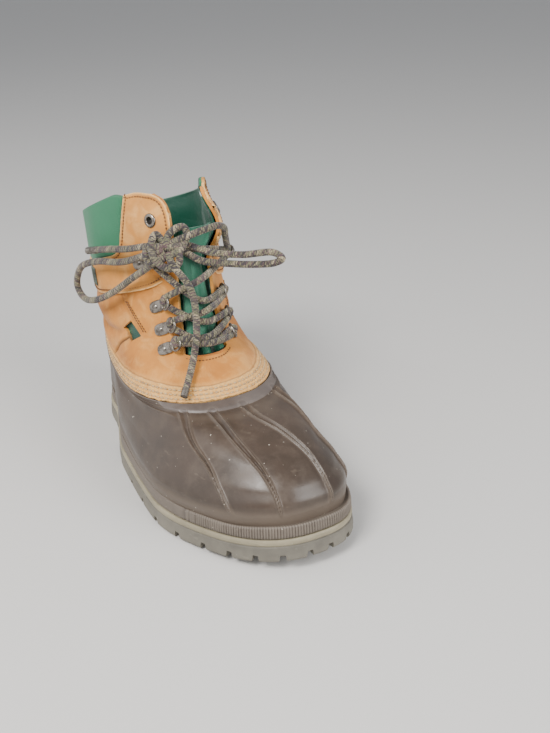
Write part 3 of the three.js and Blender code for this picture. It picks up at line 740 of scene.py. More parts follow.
def tube(path, radius, sides=14, caps=True):
    """Points, faces and UV of a round tube along the path, whose radius may vary."""
    path = np.asarray(path, float)
    count = len(path)
    ahead = unit(np.gradient(path, axis=0))
    across = np.zeros_like(path)
    start = np.cross(ahead[0], [0.3, 0.2, 1.0])
    across[0] = start / np.linalg.norm(start)
    for k in range(1, count):
        turned = across[k - 1] - ahead[k] * (across[k - 1] @ ahead[k])
        across[k] = turned / np.linalg.norm(turned)
    side = np.cross(ahead, across)
    angle = np.linspace(0, 2 * np.pi, sides + 1)
    radius = np.broadcast_to(radius, (count,))
    ring = across[:, None] * np.cos(angle)[None, :, None] + side[:, None] * np.sin(angle)[None, :, None]
    points = path[:, None] + ring * radius[:, None, None]
    run = np.concatenate([[0], np.cumsum(np.linalg.norm(np.diff(path, axis=0), axis=1))])
    cloth = np.stack(np.broadcast_arrays(run[:, None], (angle / (2 * np.pi) * 1000)[None]), -1)
    faces = grid_faces(count, sides + 1)[:, ::-1]
    points = points.reshape(-1, 3)
    cloth = cloth.reshape(-1, 2)
    if caps:
        ends = len(points)
        points = np.concatenate([points, path[:1] - ahead[:1] * radius[0] * 0.35,
                                 path[-1:] + ahead[-1:] * radius[-1] * 0.35])
        cloth = np.concatenate([cloth, [[0, 0]], [[run[-1], 0]]])
        last = (count - 1) * (sides + 1)
        k = np.arange(sides)
        closing = np.concatenate([
            np.stack([k, k + 1, np.full(sides, ends), np.full(sides, ends)], -1),
            np.stack([last + k + 1, last + k, np.full(sides, ends + 1), np.full(sides, ends + 1)], -1),
        ])
        faces = [*faces.tolist(), *closing[:, :3].tolist()]
    return points, faces, cloth


def joined(parts):
    """Several (points, faces, cloth) as one."""
    points, faces, cloth, start = [], [], [], 0
    for some, quads, sheet in parts:
        points.append(np.asarray(some).reshape(-1, 3))
        cloth.append(np.asarray(sheet).reshape(-1, 2))
        faces.extend([[k + start for k in face] for face in np.asarray(quads, dtype=object).tolist()])
        start += len(points[-1])
    return np.concatenate(points), faces, np.concatenate(cloth)


def list_mesh(name, parts, finish):
    """A mesh of several closed parts with one finish."""
    points, faces, cloth = joined(parts)
    mesh = raw_mesh(name, points, faces, [finish], cloth)
    work = bmesh.new()
    work.from_mesh(mesh)
    bmesh.ops.remove_doubles(work, verts=work.verts, dist=2e-6)
    bmesh.ops.recalc_face_normals(work, faces=work.faces)
    for face in work.faces:
        face.smooth = True
    work.to_mesh(mesh)
    work.free()
    mesh.set_sharp_from_angle(angle=math.radians(45))
    return mesh


# Lace hardware: the level and turn of each clip and how far it stands off
CLIPS = {
    "cuff": (9.18, 0.715, 2.2),
    "high": (8.22, 0.765, 0.3),
    "middle": (7.66, 0.79, 0.3),
    "low": (7.14, 0.81, 0.6),
}
# The plate's lean up the boot, its half length and half width, and its middle behind the seat
CLIP_TILT = math.radians(24)
CLIP_LONG = 8.2
CLIP_WIDE = 4.9
CLIP_BACK = 5.2
# The plate's rows as a share of its outline and a height, then the rivet as (radius, height)
PLATE_RINGS = ((0.9, -0.35), (1.0, 0.1), (1.0, 0.75), (0.93, 1.15), (0.7, 1.35), (0.35, 1.5), (0.02, 1.55))
RIVET = [(0.01, 1.2), (1.5, 1.25), (1.55, 1.75), (1.0, 2.15), (0.01, 2.25)]
BARREL_RADII = [1.2, 1.45, 1.5, 1.5, 1.5, 1.5, 1.5, 1.45, 1.2]
BARREL_HALF = 3.8
RING_RADIUS = 5.4
RING_WIRE = 2.0
RING_OUT = 1.9
RING_AHEAD = 6.8
# The grommet's hole, its section as (radius, height), and the level and turn of each
GROMMET_HOLE = 3.0
GROMMET_RIM = [(2.55, -4.6), (2.5, 0.5), (2.75, 1.1), (3.3, 1.35), (4.2, 1.2), (4.9, 0.75), (5.2, 0.2),
               (5.1, -0.3), (3.4, -0.3), (3.1, -4.6)]
GROMMETS = {"outer": (9.68, 0.775), "inner": (9.68, 1.265)}


def mirrored(turn, inner):
    """The turn, or the same turn on the inner side of the boot."""
    return 2 - turn if inner else turn


def on_side(knots, inner):
    """The (u, turn) knots, or the same ones on the inner side."""
    return [(level, mirrored(turn, inner)) for level, turn in knots]


def clip_frame(name, inner):
    """The clip's seat on the leather, its ways to the throat, out and up, its ring's way and middle."""
    level, turn, off = CLIPS[name]
    at, out, up, along = (v[0] for v in surface(np.array([level]), np.array([mirrored(turn, inner)])))
    way = -along if inner else along
    way = way * math.cos(CLIP_TILT) + up * math.sin(CLIP_TILT)
    levels, turns = np.meshgrid(level + np.array([-0.3, 0, 0.3]), turn + np.array([-0.06, -0.03, 0, 0.03]))
    around = skin(levels.ravel(), mirrored(turns.ravel(), inner))
    seat = max(0.0, ((around - at) @ out).max())
    base = at + out * (off + seat)
    lean = way * 0.92 + out * 0.39
    lean = lean / np.linalg.norm(lean)
    centre = base + out * RING_OUT + lean * RING_AHEAD
    up = np.cross(out, way) * (-1 if inner else 1)
    return {"base": base, "way": way, "out": out, "up": up, "lean": lean, "ring": centre}


# The lace: loose pieces first
KNOT = (0.456, -0.28, 0.815)
LOOSE = {
    "lace_loop_outer": [KNOT, (0.449, -0.414, 0.807), (0.362, -0.65, 0.75), (0.278, -0.83, 0.726),
                        (0.215, -0.937, 0.684), (0.184, -0.97, 0.605), (0.218, -0.957, 0.573),
                        (0.286, -0.9, 0.592), (0.338, -0.765, 0.636), (0.388, -0.6, 0.7),
                        (0.446, -0.449, 0.767), KNOT],
    "lace_end_outer": [KNOT, (0.446, -0.43, 0.827), (0.372, -0.6, 0.797), (0.306, -0.74, 0.777),
                       (0.236, -0.86, 0.75)],
    "lace_end_front": [KNOT, (0.479, -0.282, 0.772), (0.521, -0.166, 0.695), (0.553, -0.192, 0.567),
                       (0.567, -0.28, 0.478), (0.628, -0.531, 0.396)],
    "lace_loop_inner": [KNOT, (0.45, -0.123, 0.798), (0.48, 0.062, 0.762), (0.509, 0.277, 0.752),
                        (0.559, 0.523, 0.755), (0.597, 0.677, 0.768), (0.612, 0.73, 0.786),
                        (0.597, 0.67, 0.803), (0.54, 0.42, 0.787), (0.487, 0.154, 0.789),
                        (0.449, -0.062, 0.812), KNOT],
    "lace_over_strand": [KNOT, (0.455, -0.215, 0.83), (0.47, -0.062, 0.85), (0.478, 0.138, 0.866),
                         (0.474, 0.3, 0.868), (0.464, 0.385, 0.85), (0.458, 0.4, 0.83)],
}
# Turns of lace that make up the knot
KNOT_WRAPS = [
    [KNOT, (0.437, -0.36, 0.86), (0.446, -0.43, 0.845), (0.456, -0.45, 0.8), (0.468, -0.38, 0.765),
     (0.478, -0.27, 0.755), (0.478, -0.19, 0.775), (0.462, -0.2, 0.82), KNOT],
    [KNOT, (0.444, -0.24, 0.85), (0.44, -0.14, 0.868), (0.446, -0.06, 0.872), (0.458, -0.04, 0.85),
     (0.466, -0.12, 0.825), KNOT],
    [KNOT, (0.43, -0.38, 0.83), (0.44, -0.5, 0.805), (0.452, -0.47, 0.775), (0.462, -0.3, 0.79),
     (0.47, -0.15, 0.81), (0.455, -0.08, 0.83), KNOT],
]
# How long each plain tip is
AGLETS = {"lace_end_outer": 14.0, "lace_end_front": 8.0}
LACE_STEP = 1.1
# Crossings: how much lower or higher, in levels, each bar hangs, and how far the two runs stand off
LACE_SLACK = [0.0, -0.1, 0.16, -0.3]
BAR_RISE = 0.1
BOW_OVER = 7.4
BOW_UNDER = 3.8


def make_loose_lace():
    """The knot, its two loops and the ends, as free cord."""
    for name, shares in LOOSE.items():
        knots = list(place(shares))
        if name == "lace_over_strand":
            knots.append(clip_frame("cuff", True)["ring"])
        end = "knot" if shares[-1] == KNOT else "bare"
        path = evenly(through(knots, 1.0), LACE_STEP)
        path = path[3:-3] if end == "knot" else path[3:]
        made = new_object(name, list_mesh(name, [tube(path, LACE_WIDE / 2)], LACE), "lace_bow")
        path[0] * MM
        path * MM
        if name in AGLETS:
            tip = path[-int(AGLETS[name] / LACE_STEP):]
            label = name.replace("end", "tip")
            new_object(label, list_mesh(label, [tube(tip, LACE_WIDE / 2 + 0.25, 12)], NICKEL), "lace_bow")
    wraps = [tube(evenly(through(place(rows), 1.0), LACE_STEP), LACE_WIDE / 2 * 1.04) for rows in KNOT_WRAPS]
    new_object("lace_knot", list_mesh("lace_knot", wraps, LACE), "lace_bow")


make_loose_lace()


def make_crossings():
    """The lace between the rings: two runs from side to side, the first with the bar at the throat's foot."""
    order = ["low", "middle", "high", "cuff"]

    def ring(name, inner):
        held = clip_frame(name, inner)
        return held["ring"] + held["lean"] * 1.4

    def lace_run(starts_inner, over):
        spots = [ring(order[0], not starts_inner)] if over else []
        for k, name in enumerate(order):
            inner = starts_inner if k % 2 == 0 else not starts_inner
            held = clip_frame(name, inner)
            low = CLIPS[order[max(k - 1, 0)]][0]
            middle = (CLIPS[name][0] + low) / 2 + (BAR_RISE if k == 0 else 0)
            slack = LACE_SLACK[k] if over else -0.6 * LACE_SLACK[k]
            bow = BOW_OVER if (k % 2 == 0) == over else BOW_UNDER
            if k or over:
                spots.append(skin(np.array(middle + slack), np.array(1.0), bow))
            spots.append(ring(name, inner) - held["up"] * 2.2)
            spots.append(ring(name, inner) + held["lean"] * -0.6 + held["up"] * 1.6 + held["out"] * 2.2)
        spots.append(place(KNOT))
        return tube(evenly(through(spots, 1.0), 1.2), LACE_WIDE / 2 * 0.96)

    mesh = list_mesh("lace_crossings_braided", [lace_run(True, True), lace_run(False, False)], LACE)
    new_object("lace_crossings_braided", mesh, "lace_crossings")


make_crossings()

stitches = {"brown": [], "pale": []}


def stitch(thread, knots, off, pitch):
    """Keeps a run of stitches along the route, to be made at the end."""
    line = route(knots, 0.004)
    points = skin(line[:, 0], line[:, 1], off)
    stitch_points(thread, points, pitch, line)


def stitch_points(thread, points, pitch, line):
    """Keeps a run of stitches along points whose (u, turn) are given by line."""
    both = evenly(np.concatenate([points, line], 1), 0.5)
    run = np.concatenate([[0], np.cumsum(np.linalg.norm(np.diff(both[:, :3], axis=0), axis=1))])
    at = np.arange(pitch / 2, run[-1], pitch)
    spots = np.stack([np.interp(at, run, both[:, k]) for k in range(5)], -1)
    ahead = np.stack([np.interp(at + 0.4, run, both[:, k]) for k in range(3)], -1)
    behind = np.stack([np.interp(at - 0.4, run, both[:, k]) for k in range(3)], -1)
    _, out, _, _ = surface(spots[:, 3], spots[:, 4])
    stitches[thread].append((spots[:, :3], unit(ahead - behind), out))


def stitch_tree():
    """Geometry nodes that lay one thread on every point, along its way and out of its surface."""
    tree = bpy.data.node_groups.new("stitch_run", "GeometryNodeTree")
    face = tree.interface
    face.new_socket("Geometry", in_out="INPUT", socket_type="NodeSocketGeometry")
    face.new_socket("Stitch Long", in_out="INPUT", socket_type="NodeSocketFloat")
    face.new_socket("Thread Thick", in_out="INPUT", socket_type="NodeSocketFloat")
    face.new_socket("Thread", in_out="INPUT", socket_type="NodeSocketMaterial")
    face.new_socket("Geometry", in_out="OUTPUT", socket_type="NodeSocketGeometry")

    def add(kind, settings=None, inputs=None):
        made = tree.nodes.new(kind)
        for key, value in (settings or {}).items():
            setattr(made, key, value)
        for key, value in (inputs or {}).items():
            if isinstance(value, bpy.types.NodeSocket):
                tree.links.new(value, made.inputs[key])
            else:
                made.inputs[key].default_value = value
        return made

    given = add("NodeGroupInput")
    bead = add("GeometryNodeMeshUVSphere", None, {"Segments": 8, "Rings": 6, "Radius": 0.5})
    long, thick = (given.outputs[name] for name in ("Stitch Long", "Thread Thick"))
    size = add("ShaderNodeCombineXYZ", None, {0: long, 1: thick, 2: thick})
    shaped = add("GeometryNodeTransform", None, {"Geometry": bead.outputs[0], "Scale": size.outputs[0]})
    smoothed = add("GeometryNodeSetShadeSmooth", None, {"Geometry": shaped.outputs[0]})
    points = add("GeometryNodeMeshToPoints", None, {0: given.outputs["Geometry"]})
    along = add("GeometryNodeInputNamedAttribute", {"data_type": "FLOAT_VECTOR"}, {"Name": "along"})
    out = add("GeometryNodeInputNamedAttribute", {"data_type": "FLOAT_VECTOR"}, {"Name": "out"})
    turned = add("FunctionNodeAlignRotationToVector", {"axis": "X"}, {"Vector": along.outputs[0]})
    upright = add("FunctionNodeAlignRotationToVector", {"axis": "Z", "pivot_axis": "X"},
                  {"Rotation": turned.outputs[0], "Vector": out.outputs[0]})
    copies = add("GeometryNodeInstanceOnPoints", None, {
        "Points": points.outputs[0], "Instance": smoothed.outputs[0], "Rotation": upright.outputs[0]})
    real = add("GeometryNodeRealizeInstances", None, {0: copies.outputs[0]})
    painted = add("GeometryNodeSetMaterial", None, {"Geometry": real.outputs[0],
                                                    "Material": given.outputs["Thread"]})
    add("NodeGroupOutput", None, {0: painted.outputs[0]})
    return tree


def make_stitching(name, thread, tree, finish, long, thick):
    """Turns the kept runs of one thread into a piece."""
    points, along, out = (np.concatenate([run[k] for run in stitches[thread]]) for k in range(3))
    mesh = bpy.data.meshes.new(name)
    mesh.from_pydata((points * MM).tolist(), [], [])
    for key, values in (("along", along), ("out", out)):
        layer = mesh.attributes.new(key, "FLOAT_VECTOR", "POINT")
        layer.data.foreach_set("vector", values.astype(np.float32).ravel())
    source = bpy.data.objects.new(name + "_points", mesh)
    bpy.context.scene.collection.objects.link(source)
    modifier = source.modifiers.new("stitches", "NODES")
    modifier.node_group = tree
    sockets = {item.name: item.identifier for item in tree.interface.items_tree if item.in_out == "INPUT"}
    modifier[sockets["Stitch Long"]] = long * MM
    modifier[sockets["Thread Thick"]] = thick * MM
    modifier[sockets["Thread"]] = finish
    done = bpy.data.meshes.new_from_object(source.evaluated_get(bpy.context.evaluated_depsgraph_get()))
    bpy.data.objects.remove(source)
    new_object(name, done)


# Rubber shell: the levels of its foot and of the rim band, and how far the band stands out
SHELL_LOW = 0.45
BAND_LOW = 4.66
RIM_STEP = 1.6
# Half widths of a flute at some levels, the lips along the sides as level, height and reach in levels,
# and the (level, turn) knots of each flute
FLUTE_LEVELS = [0.3, 2.0, 3.6, 4.7]
FLUTE_HALVES = [1.0, 1.25, 2.3, 3.4]
SIDE_LIPS = ((4.4, 0.8, 0.09), (4.66, 1.0, 0.09), (4.93, 1.5, 0.2))
FLUTES = [
    [(4.62, 0.823), (3.9, 0.77), (3.2, 0.745), (2.1, 0.772), (1.2, 0.797), (0.3, 0.817)],
    [(4.65, 0.922), (3.75, 0.894), (2.85, 0.9), (2.05, 0.911), (1.0, 0.922), (0.3, 0.928)],
    [(4.7, 1.012), (4.2, 1.02), (3.55, 1.054), (3.0, 1.072), (2.2, 1.061), (1.1, 1.045), (0.3, 1.04)],
    [(4.65, 1.172), (4.0, 1.215), (3.2, 1.24), (2.1, 1.22), (1.2, 1.2), (0.3, 1.18)],
]


def dense_turns(spacing_toe, spacing_side):
    """Turns right round the boot, closer together over the toe."""
    turns = [0.0]
    while turns[-1] < 2:
        near_toe = rounded((0.36 - abs(turns[-1] - 1)) / 0.1)
        turns.append(turns[-1] + spacing_side + (spacing_toe - spacing_side) * float(near_toe))
    turns = np.array(turns)
    return turns * 2 / turns[-1]


def front_share(turn):
    """1 over the front of the rim, where its band is broad, falling to 0 on the sides."""
    return rounded((0.26 - np.abs(turn - 0.99)) / 0.06)


def make_shell():
    """The moulded bottom: bulging sides, toe dome, four flutes and the rim band under the leather."""
    turns = dense_turns(0.0022, 0.0062)
    low = np.linspace(SHELL_LOW, 4.4, 92)
    band = np.linspace(4.42, RIM, 26)
    u, turn = np.meshgrid(np.concatenate([low, band]), turns, indexing="ij")
    at, out, _, _ = surface(u, turn)
    off = np.zeros(u.shape)
    dust = np.zeros(u.shape)
    for knots in FLUTES:
        line = route(knots, 0.006)
        path = skin(line[:, 0], line[:, 1])
        near = distance(at, path)
        half = smooth(FLUTE_LEVELS, FLUTE_HALVES, u)
        fade = rounded((u - 0.45) / 0.5) * (1 - rounded((u - 4.5) / 0.1) * 0.4)
        raised = 1 - rounded((near - half + 0.3) / 0.8)
        ridge = hump(near - half + 0.4, 0.8)
        trough = hump(near, half * 0.6) * rounded((half - 1.0) / 1.2)
        off = off + fade * (0.5 * raised + 1.15 * ridge - 0.8 * trough)
        dust = dust + fade * (0.3 * hump(near - half - 0.9, 1.0) + 0.8 * hump(near - half + 0.4, 0.6))
    front = front_share(turn)
    step = rounded((u - (BAND_LOW - 0.05)) / 0.06)
    off = off * (1 - step) + RIM_STEP * step * front
    side = 1 - front
    for level, high, wide in SIDE_LIPS:
        off = off + side * high * hump(u - level, wide)
        dust = dust + 0.4 * side * hump(u - level, wide * 0.7)
    off = off + side * rounded((u - 4.86) / 0.08) * 0.7
    off = off - 0.5 * rounded((u - 4.95) / 0.05)
    off = off + 0.25 * ripple(at, 60, 3) * (1 - step) + 1.1 * (1 - rounded((u - SHELL_LOW) / 0.5))
    dust = dust + 0.7 * hump(u - 0.45, 0.5) + 0.3 * hump(u - 4.42, 0.2) * front
    points = at + out * off[..., None]
    inner = skin(np.full(turns.shape, RIM), turns, -1.6)
    deep = skin(np.full(turns.shape, 4.8), turns, -2.4)
    foot = edge(turns, 4.7, SOLE_THICK + 0.2)
    points = np.concatenate([foot[None], points, inner[None], deep[None]])
    shown = np.concatenate([dust[:1], dust, dust[-1:], dust[-1:]])
    levels = np.concatenate([u[:1], u, u[-1:], u[-1:]])
    turn = np.concatenate([turn[:1], turn, turn[-1:], turn[-1:]])
    faces = grid_faces(*points.shape[:2])
    middle_u = levels.ravel()[faces].mean(1)
    middle_t = turn.ravel()[faces].mean(1)
    banded = (middle_u > BAND_LOW - 0.02) & (front_share(middle_t) > 0.5) | (middle_u > 4.9)
    mesh = mesh_of("shell_moulded", points, faces, [SHELL, BAND], measured(points),
                   {"dust": np.clip(shown, 0, 1)}, banded)
    new_object("shell_moulded", mesh, "rubber_shell")
    inside_turns = np.linspace(0, 2, 181)
    u, turn = np.meshgrid(np.linspace(0.4, RIM, 40), inside_turns, indexing="ij")
    points = skin(u, turn, -3.0)
    points = np.concatenate([edge(inside_turns, 8.2, SOLE_THICK + 0.3)[None], points])
    mesh = mesh_of("shell_inside", points, grid_faces(*points.shape[:2])[:, ::-1], [FELT], measured(points))
    new_object("shell_inside", mesh, "rubber_shell")


make_shell()

# The strip from its foot to its top edge: inset from the sole's outline, and rise above the sole,
# drawn for a strip of STRIP_DRAWN and scaled to STRIP_HIGH
STRIP_PROFILE = [(5.0, 0.3), (1.4, 0.3), (0.9, 1.2), (0.8, 3.0), (0.9, 5.5), (1.1, 7.8), (1.35, 9.0),
                 (1.7, 9.5), (2.1, 9.6), (2.5, 9.3), (3.6, 8.9), (7.2, 8.5)]
STRIP_DRAWN = 9.7
RIB_PITCH = 1.9


def make_strip():
    """The strip round the shell's foot: fine upright ribs round the toe, worn smooth on the sides."""
    turns = dense_turns(0.00105, 0.006)
    rows = []
    run = edge(turns, 0.0, 0.0)
    length = np.concatenate([[0], np.cumsum(np.linalg.norm(np.diff(run, axis=0), axis=1))])
    ribbed = rounded((0.335 - np.abs(turns - 0.985)) / 0.05)
    rib = np.abs(np.sin(np.pi * length / RIB_PITCH))
    wavy = 0.35 * np.sin(length / 17.0) + 0.2 * np.sin(length / 7.3 + 1)
    for k, (inset, rise) in enumerate(STRIP_PROFILE):
        proud = 0.7 * ribbed * rib * (1 if 2 <= k <= 6 else 0)
        high = rise * STRIP_HIGH / STRIP_DRAWN + wavy * (rise > 7)
        rows.append(edge(turns, inset - proud, SOLE_THICK + high))
    points = np.stack(rows)
    worn = np.broadcast_to((0.4 * (1 - ribbed) + 0.6 * rib * ribbed)[None], points.shape[:2])
    mesh = mesh_of("strip_ribbed", points, grid_faces(*points.shape[:2]), [STRIP], measured(points),
                   {"dust": worn}, sharp=70)
    new_object("strip_ribbed", mesh, "foxing_strip")


make_strip()

# Outsole: its profile from the floor up as inset and rise, then the cuts in it
SOLE_PROFILE = [(0.9, 0.0), (0.1, 0.25), (-0.7, 1.2), (-1.0, 2.6), (-0.9, 6.0), (-0.5, 9.6), (-0.2, 11.0),
                (0.7, 11.7), (0.75, 12.3), (-0.15, 12.9), (-0.35, 14.4), (-0.1, 15.8), (0.5, 16.6),
                (1.4, 16.8)]
BAND_FOOT = 12.0
HEEL_BREAST = 0.29
ARCH_FRONT = 0.39
ARCH_HIGH = 7.5
LUG_DEEP = 5.6
NOTCH_WIDE = 7.0
NOTCH_TURNS = [0.13, 0.22, 0.31, 0.5, 0.557, 0.615, 0.672, 0.73, 0.79, 0.85, 0.915, 0.98]
CHANNEL_SHARES = [0.1, 0.19, 0.49, 0.58, 0.67, 0.76]
CHANNEL_HALF = (2.2, 18.5, 3.2)


def wedge(centre, half, turn):
    """The eight corners and six faces of a groove cutter, half as wide at its top."""
    ahead = np.array([math.cos(turn), math.sin(turn), 0])
    across = np.array([-math.sin(turn), math.cos(turn), 0])
    points = []
    for z in (-1, 1):
        for x, y in ((-1, -1), (1, -1), (1, 1), (-1, 1)):
            wide = half[0] * (0.5 if z > 0 else 1)
            points.append(centre + ahead * x * wide + across * y * half[1] + [0, 0, z * half[2]])
    faces = [[0, 3, 2, 1], [4, 5, 6, 7], [0, 1, 5, 4], [1, 2, 6, 5], [2, 3, 7, 6], [3, 0, 4, 7]]
    return np.array(points), faces, np.zeros((8, 2))


def prism(outline, half):
    """A cutter with the (x, z) outline that runs across the sole."""
    count = len(outline)
    points = [(x, y, z) for y in (-half, half) for x, z in outline]
    sides = [[k, (k + 1) % count, (k + 1) % count + count, k + count] for k in range(count)]
    faces = [list(range(count))[::-1], list(range(count, 2 * count)), *sides]
    return np.array(points), faces, np.zeros((2 * count, 2))


def make_outsole():
    """The lugged sole: pale moulded edge at the top, notches along the sides, tread underneath."""
    count = 280
    turns = np.linspace(0, 2, count, endpoint=False)
    rows = np.stack([edge(turns, inset, rise) for inset, rise in SOLE_PROFILE])
    flat = np.arange(len(SOLE_PROFILE) * count).reshape(len(SOLE_PROFILE), count)
    faces = []
    for i in range(len(SOLE_PROFILE) - 1):
        for j in range(count):
            faces.append([flat[i, j], flat[i, (j + 1) % count], flat[i + 1, (j + 1) % count], flat[i + 1, j]])
    for j in range(count // 2):
        quad = [j, (j + 1) % count, (count - j - 1) % count, (count - j) % count]
        low = list(dict.fromkeys(int(flat[0, k]) for k in quad))
        high = list(dict.fromkeys(int(flat[-1, k]) for k in quad))
        if len(low) > 2:
            faces.append(low[::-1])
            faces.append(high)
    mesh = bpy.data.meshes.new("sole_lugged")
    mesh.from_pydata((rows.reshape(-1, 3) * MM).tolist(), [], [[int(k) for k in face] for face in faces])
    work = bmesh.new()
    work.from_mesh(mesh)
    bmesh.ops.recalc_face_normals(work, faces=work.faces)
    work.to_mesh(mesh)
    work.free()
    mesh.materials.append(SOLE)
    sole = new_object("sole_lugged", mesh)
    cutters = []
    for turn in [*NOTCH_TURNS, *(2 - t for t in NOTCH_TURNS)]:
        here = edge(turn, 0.0, 0.0)
        ahead = edge(turn + 0.01, 0.0, 0.0) - edge(turn - 0.01, 0.0, 0.0)
        way = math.atan2(ahead[1], ahead[0])
        cutters.append(wedge(here + [0, 0, LUG_DEEP / 2 - 2], (NOTCH_WIDE / 2, 7.0, LUG_DEEP / 2 + 2), way))
    for share in CHANNEL_SHARES:
        middle = np.array([share * LENGTH - LENGTH / 2, -2, float(lift(share)) + 0.5]) + SHIFT
        for side, slant in ((-1, 0.35), (1, -0.35)):
            spot = middle + [0, side * 17.0, 0]
            cutters.append(wedge(spot, CHANNEL_HALF, -slant * side))
    breast = HEEL_BREAST * LENGTH - LENGTH / 2 + SHIFT[0]
    front = ARCH_FRONT * LENGTH - LENGTH / 2 + SHIFT[0]
    arch = [(front + 2, -1), (front, LUG_DEEP), (breast + 9, ARCH_HIGH), (breast + 2.5, ARCH_HIGH),
            (breast, -1)]
    cutters.append(prism(arch, HALF_BALL * 1.4))
    tool_mesh = list_mesh("sole_cutters", cutters, SOLE)
    tool = bpy.data.objects.new("sole_cutters", tool_mesh)
    bpy.context.scene.collection.objects.link(tool)
    modifier = sole.modifiers.new("lugs", "BOOLEAN")
    modifier.operation = "DIFFERENCE"
    modifier.solver = "EXACT"
    modifier.use_self = True
    modifier.object = tool
    done = bpy.data.meshes.new_from_object(sole.evaluated_get(bpy.context.evaluated_depsgraph_get()))
    sole.modifiers.clear()
    sole.data = done
    bpy.data.objects.remove(tool)
    done.materials.clear()
    done.materials.append(SOLE)
    done.materials.append(SOLE_BAND)
    for polygon in done.polygons:
        spot = np.array(polygon.center) / MM
        local = spot[2] - float(lift((spot[0] - SHIFT[0]) / LENGTH + 0.5))
        polygon.material_index = 1 if local > BAND_FOOT else 0
    dust = done.attributes.new("dust", "FLOAT", "POINT")
    heights = np.array([v.co.z for v in done.vertices]) / MM
    dust.data.foreach_set("value", np.clip(0.5 - heights / 30, 0, 1).astype(np.float32))
    for polygon in done.polygons:
        polygon.use_smooth = True
    done.set_sharp_from_angle(angle=math.radians(32))
    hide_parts("outsole")


make_outsole()


def make_insole():
    """The felt insole, dished a little where the foot stands."""
    turns = np.linspace(0, 2, 181)
    rings = []
    for share in (1.0, 0.97, 0.85, 0.6, 0.3, 0.02):
        ring = edge(turns, 8.7, SOLE_THICK + 0.3)
        centre = smooth(STATIONS, BEND, ring[:, 0] / LENGTH + 0.5) * HALF_BALL + SHIFT[1]
        middle = np.stack([ring[:, 0], centre, ring[:, 2]], -1)
        spot = middle + (ring - middle) * share
        spot[:, 2] += 3.2 + 1.6 * share**4 - (1.0 if share == 1.0 else 0)
        rings.append(spot)
    points = np.stack([edge(turns, 8.7, SOLE_THICK + 0.3), *rings])
    mesh = mesh_of("insole_felted", points, grid_faces(*points.shape[:2]), [FELT], measured(points))
    new_object("insole_felted", mesh, "insole")


make_insole()

# Leather upper
THROAT_LEVELS = [6.9, 7.0, 7.4, 8.2, 9.0, 9.35, 9.6, 9.7, 9.8, 9.9, 9.96, 10.4]
THROAT_OUTER = [0.925, 0.87, 0.872, 0.862, 0.87, 0.88, 0.888, 0.889, 0.878, 0.85, 0.81, 0.7]
THROAT_INNER = [1.075, 1.125, 1.13, 1.155, 1.212, 1.222, 1.22, 1.219, 1.222, 1.234, 1.26, 1.34]
FOOT_BAND = 5.64
FOOT_ROWS = (5.19, 5.36, 5.53)
FLEX_HOLE = [(7.2, 0.572), (7.55, 0.618), (7.2, 0.664), (6.9, 0.622)]
THROAT_FOOT = 6.95
THROAT_COLUMNS = (0.87, 1.125)
THROAT_MIDDLE = 0.9975
THROAT_HALF = 0.1275
SEAM = [(8.6, 0.57), (8.05, 0.583), (7.6, 0.63), (7.3, 0.661)]
SEAM_STITCHES = [[(8.05, 0.598), (7.6, 0.645), (7.32, 0.675)], [(8.05, 0.606), (7.6, 0.655), (7.34, 0.684)]]
SLIT = [(7.05, 0.611), (6.5, 0.548), (5.75, 0.483)]


def throat_turns(u, share):
    """Warps the columns so that one follows each edge of the throat; share is a turn on the plain grid."""
    outer = smooth(THROAT_LEVELS[1:], THROAT_OUTER[1:], u)
    inner = smooth(THROAT_LEVELS[1:], THROAT_INNER[1:], u)
    take = rounded((u - 6.2) / 0.7)
    left, right = THROAT_COLUMNS
    outer = left + (outer - left) * take
    inner = right + (inner - right) * take
    first = share * outer / left
    middle = outer + (share - left) / (2 * THROAT_HALF) * (inner - outer)
    last = 2 - (2 - share) * (2 - inner) / (2 - right)
    return np.where(share <= left, first, np.where(share < right, middle, last))


def relief_lines(at, table):
    """The heights at the points of creases and bulges: each its knots, height and reach."""
    return sum(high * hump(distance(at, on_skin(knots)), reach) for knots, high, reach in table)


# The leather's creases, dents and bulges: (u, turn) knots, height and reach in millimetres
UPPER_LINES = [
    ([(6.72, 0.2), (6.62, 0.33), (6.66, 0.439), (6.95, 0.54), (7.12, 0.585)], -2.6, 5),
    ([(7.25, 0.2), (7.3, 0.33), (7.4, 0.42), (7.45, 0.5)], 2.6, 11),
    ([(6.2, 0.3), (6.15, 0.4), (6.1, 0.46)], 1.4, 9),
    ([(6.7, 1.56), (6.66, 1.45), (7.0, 1.41)], -1.8, 6),
    ([(7.3, 1.66), (7.4, 1.58), (7.45, 1.5)], 2.0, 11),
    ([(6.5, 0.7), (6.25, 0.78), (6.2, 0.86)], -1.0, 9),
    ([(6.4, 0.93), (6.2, 1.0), (6.25, 1.08)], -0.7, 8),
    ([(6.7, 0.86), (6.6, 0.95), (6.6, 1.05), (6.7, 1.14)], 0.8, 6),
]


def upper_relief(at, u):
    """How far the worn leather stands off its plain form."""
    relief = 0.35 * ripple(at, 38, 11) + 0.9 * ripple(at, 95, 5) * rounded((u - 5.6) / 0.6)
    return relief + relief_lines(at, UPPER_LINES)


def seam_steps(at):
    """The furrows of the seams and of the slits, and the painted shade in them."""
    step = np.zeros(at.shape[:-1])
    soil = np.zeros(at.shape[:-1])
    for inner in (False, True):
        near = distance(at, on_skin(on_side(SEAM, inner)))
        step = step - 0.5 * hump(near, 1.3)
        # Painted shade along the seams' and the slits' furrows.
        soil = soil + 0.45 * hump(near, 0.9)
        near = distance(at, on_skin(on_side(SLIT, inner)))
        step = step - 2.4 * hump(near, 1.5)
        soil = soil + 1.6 * hump(near, 1.3)
    return step, soil


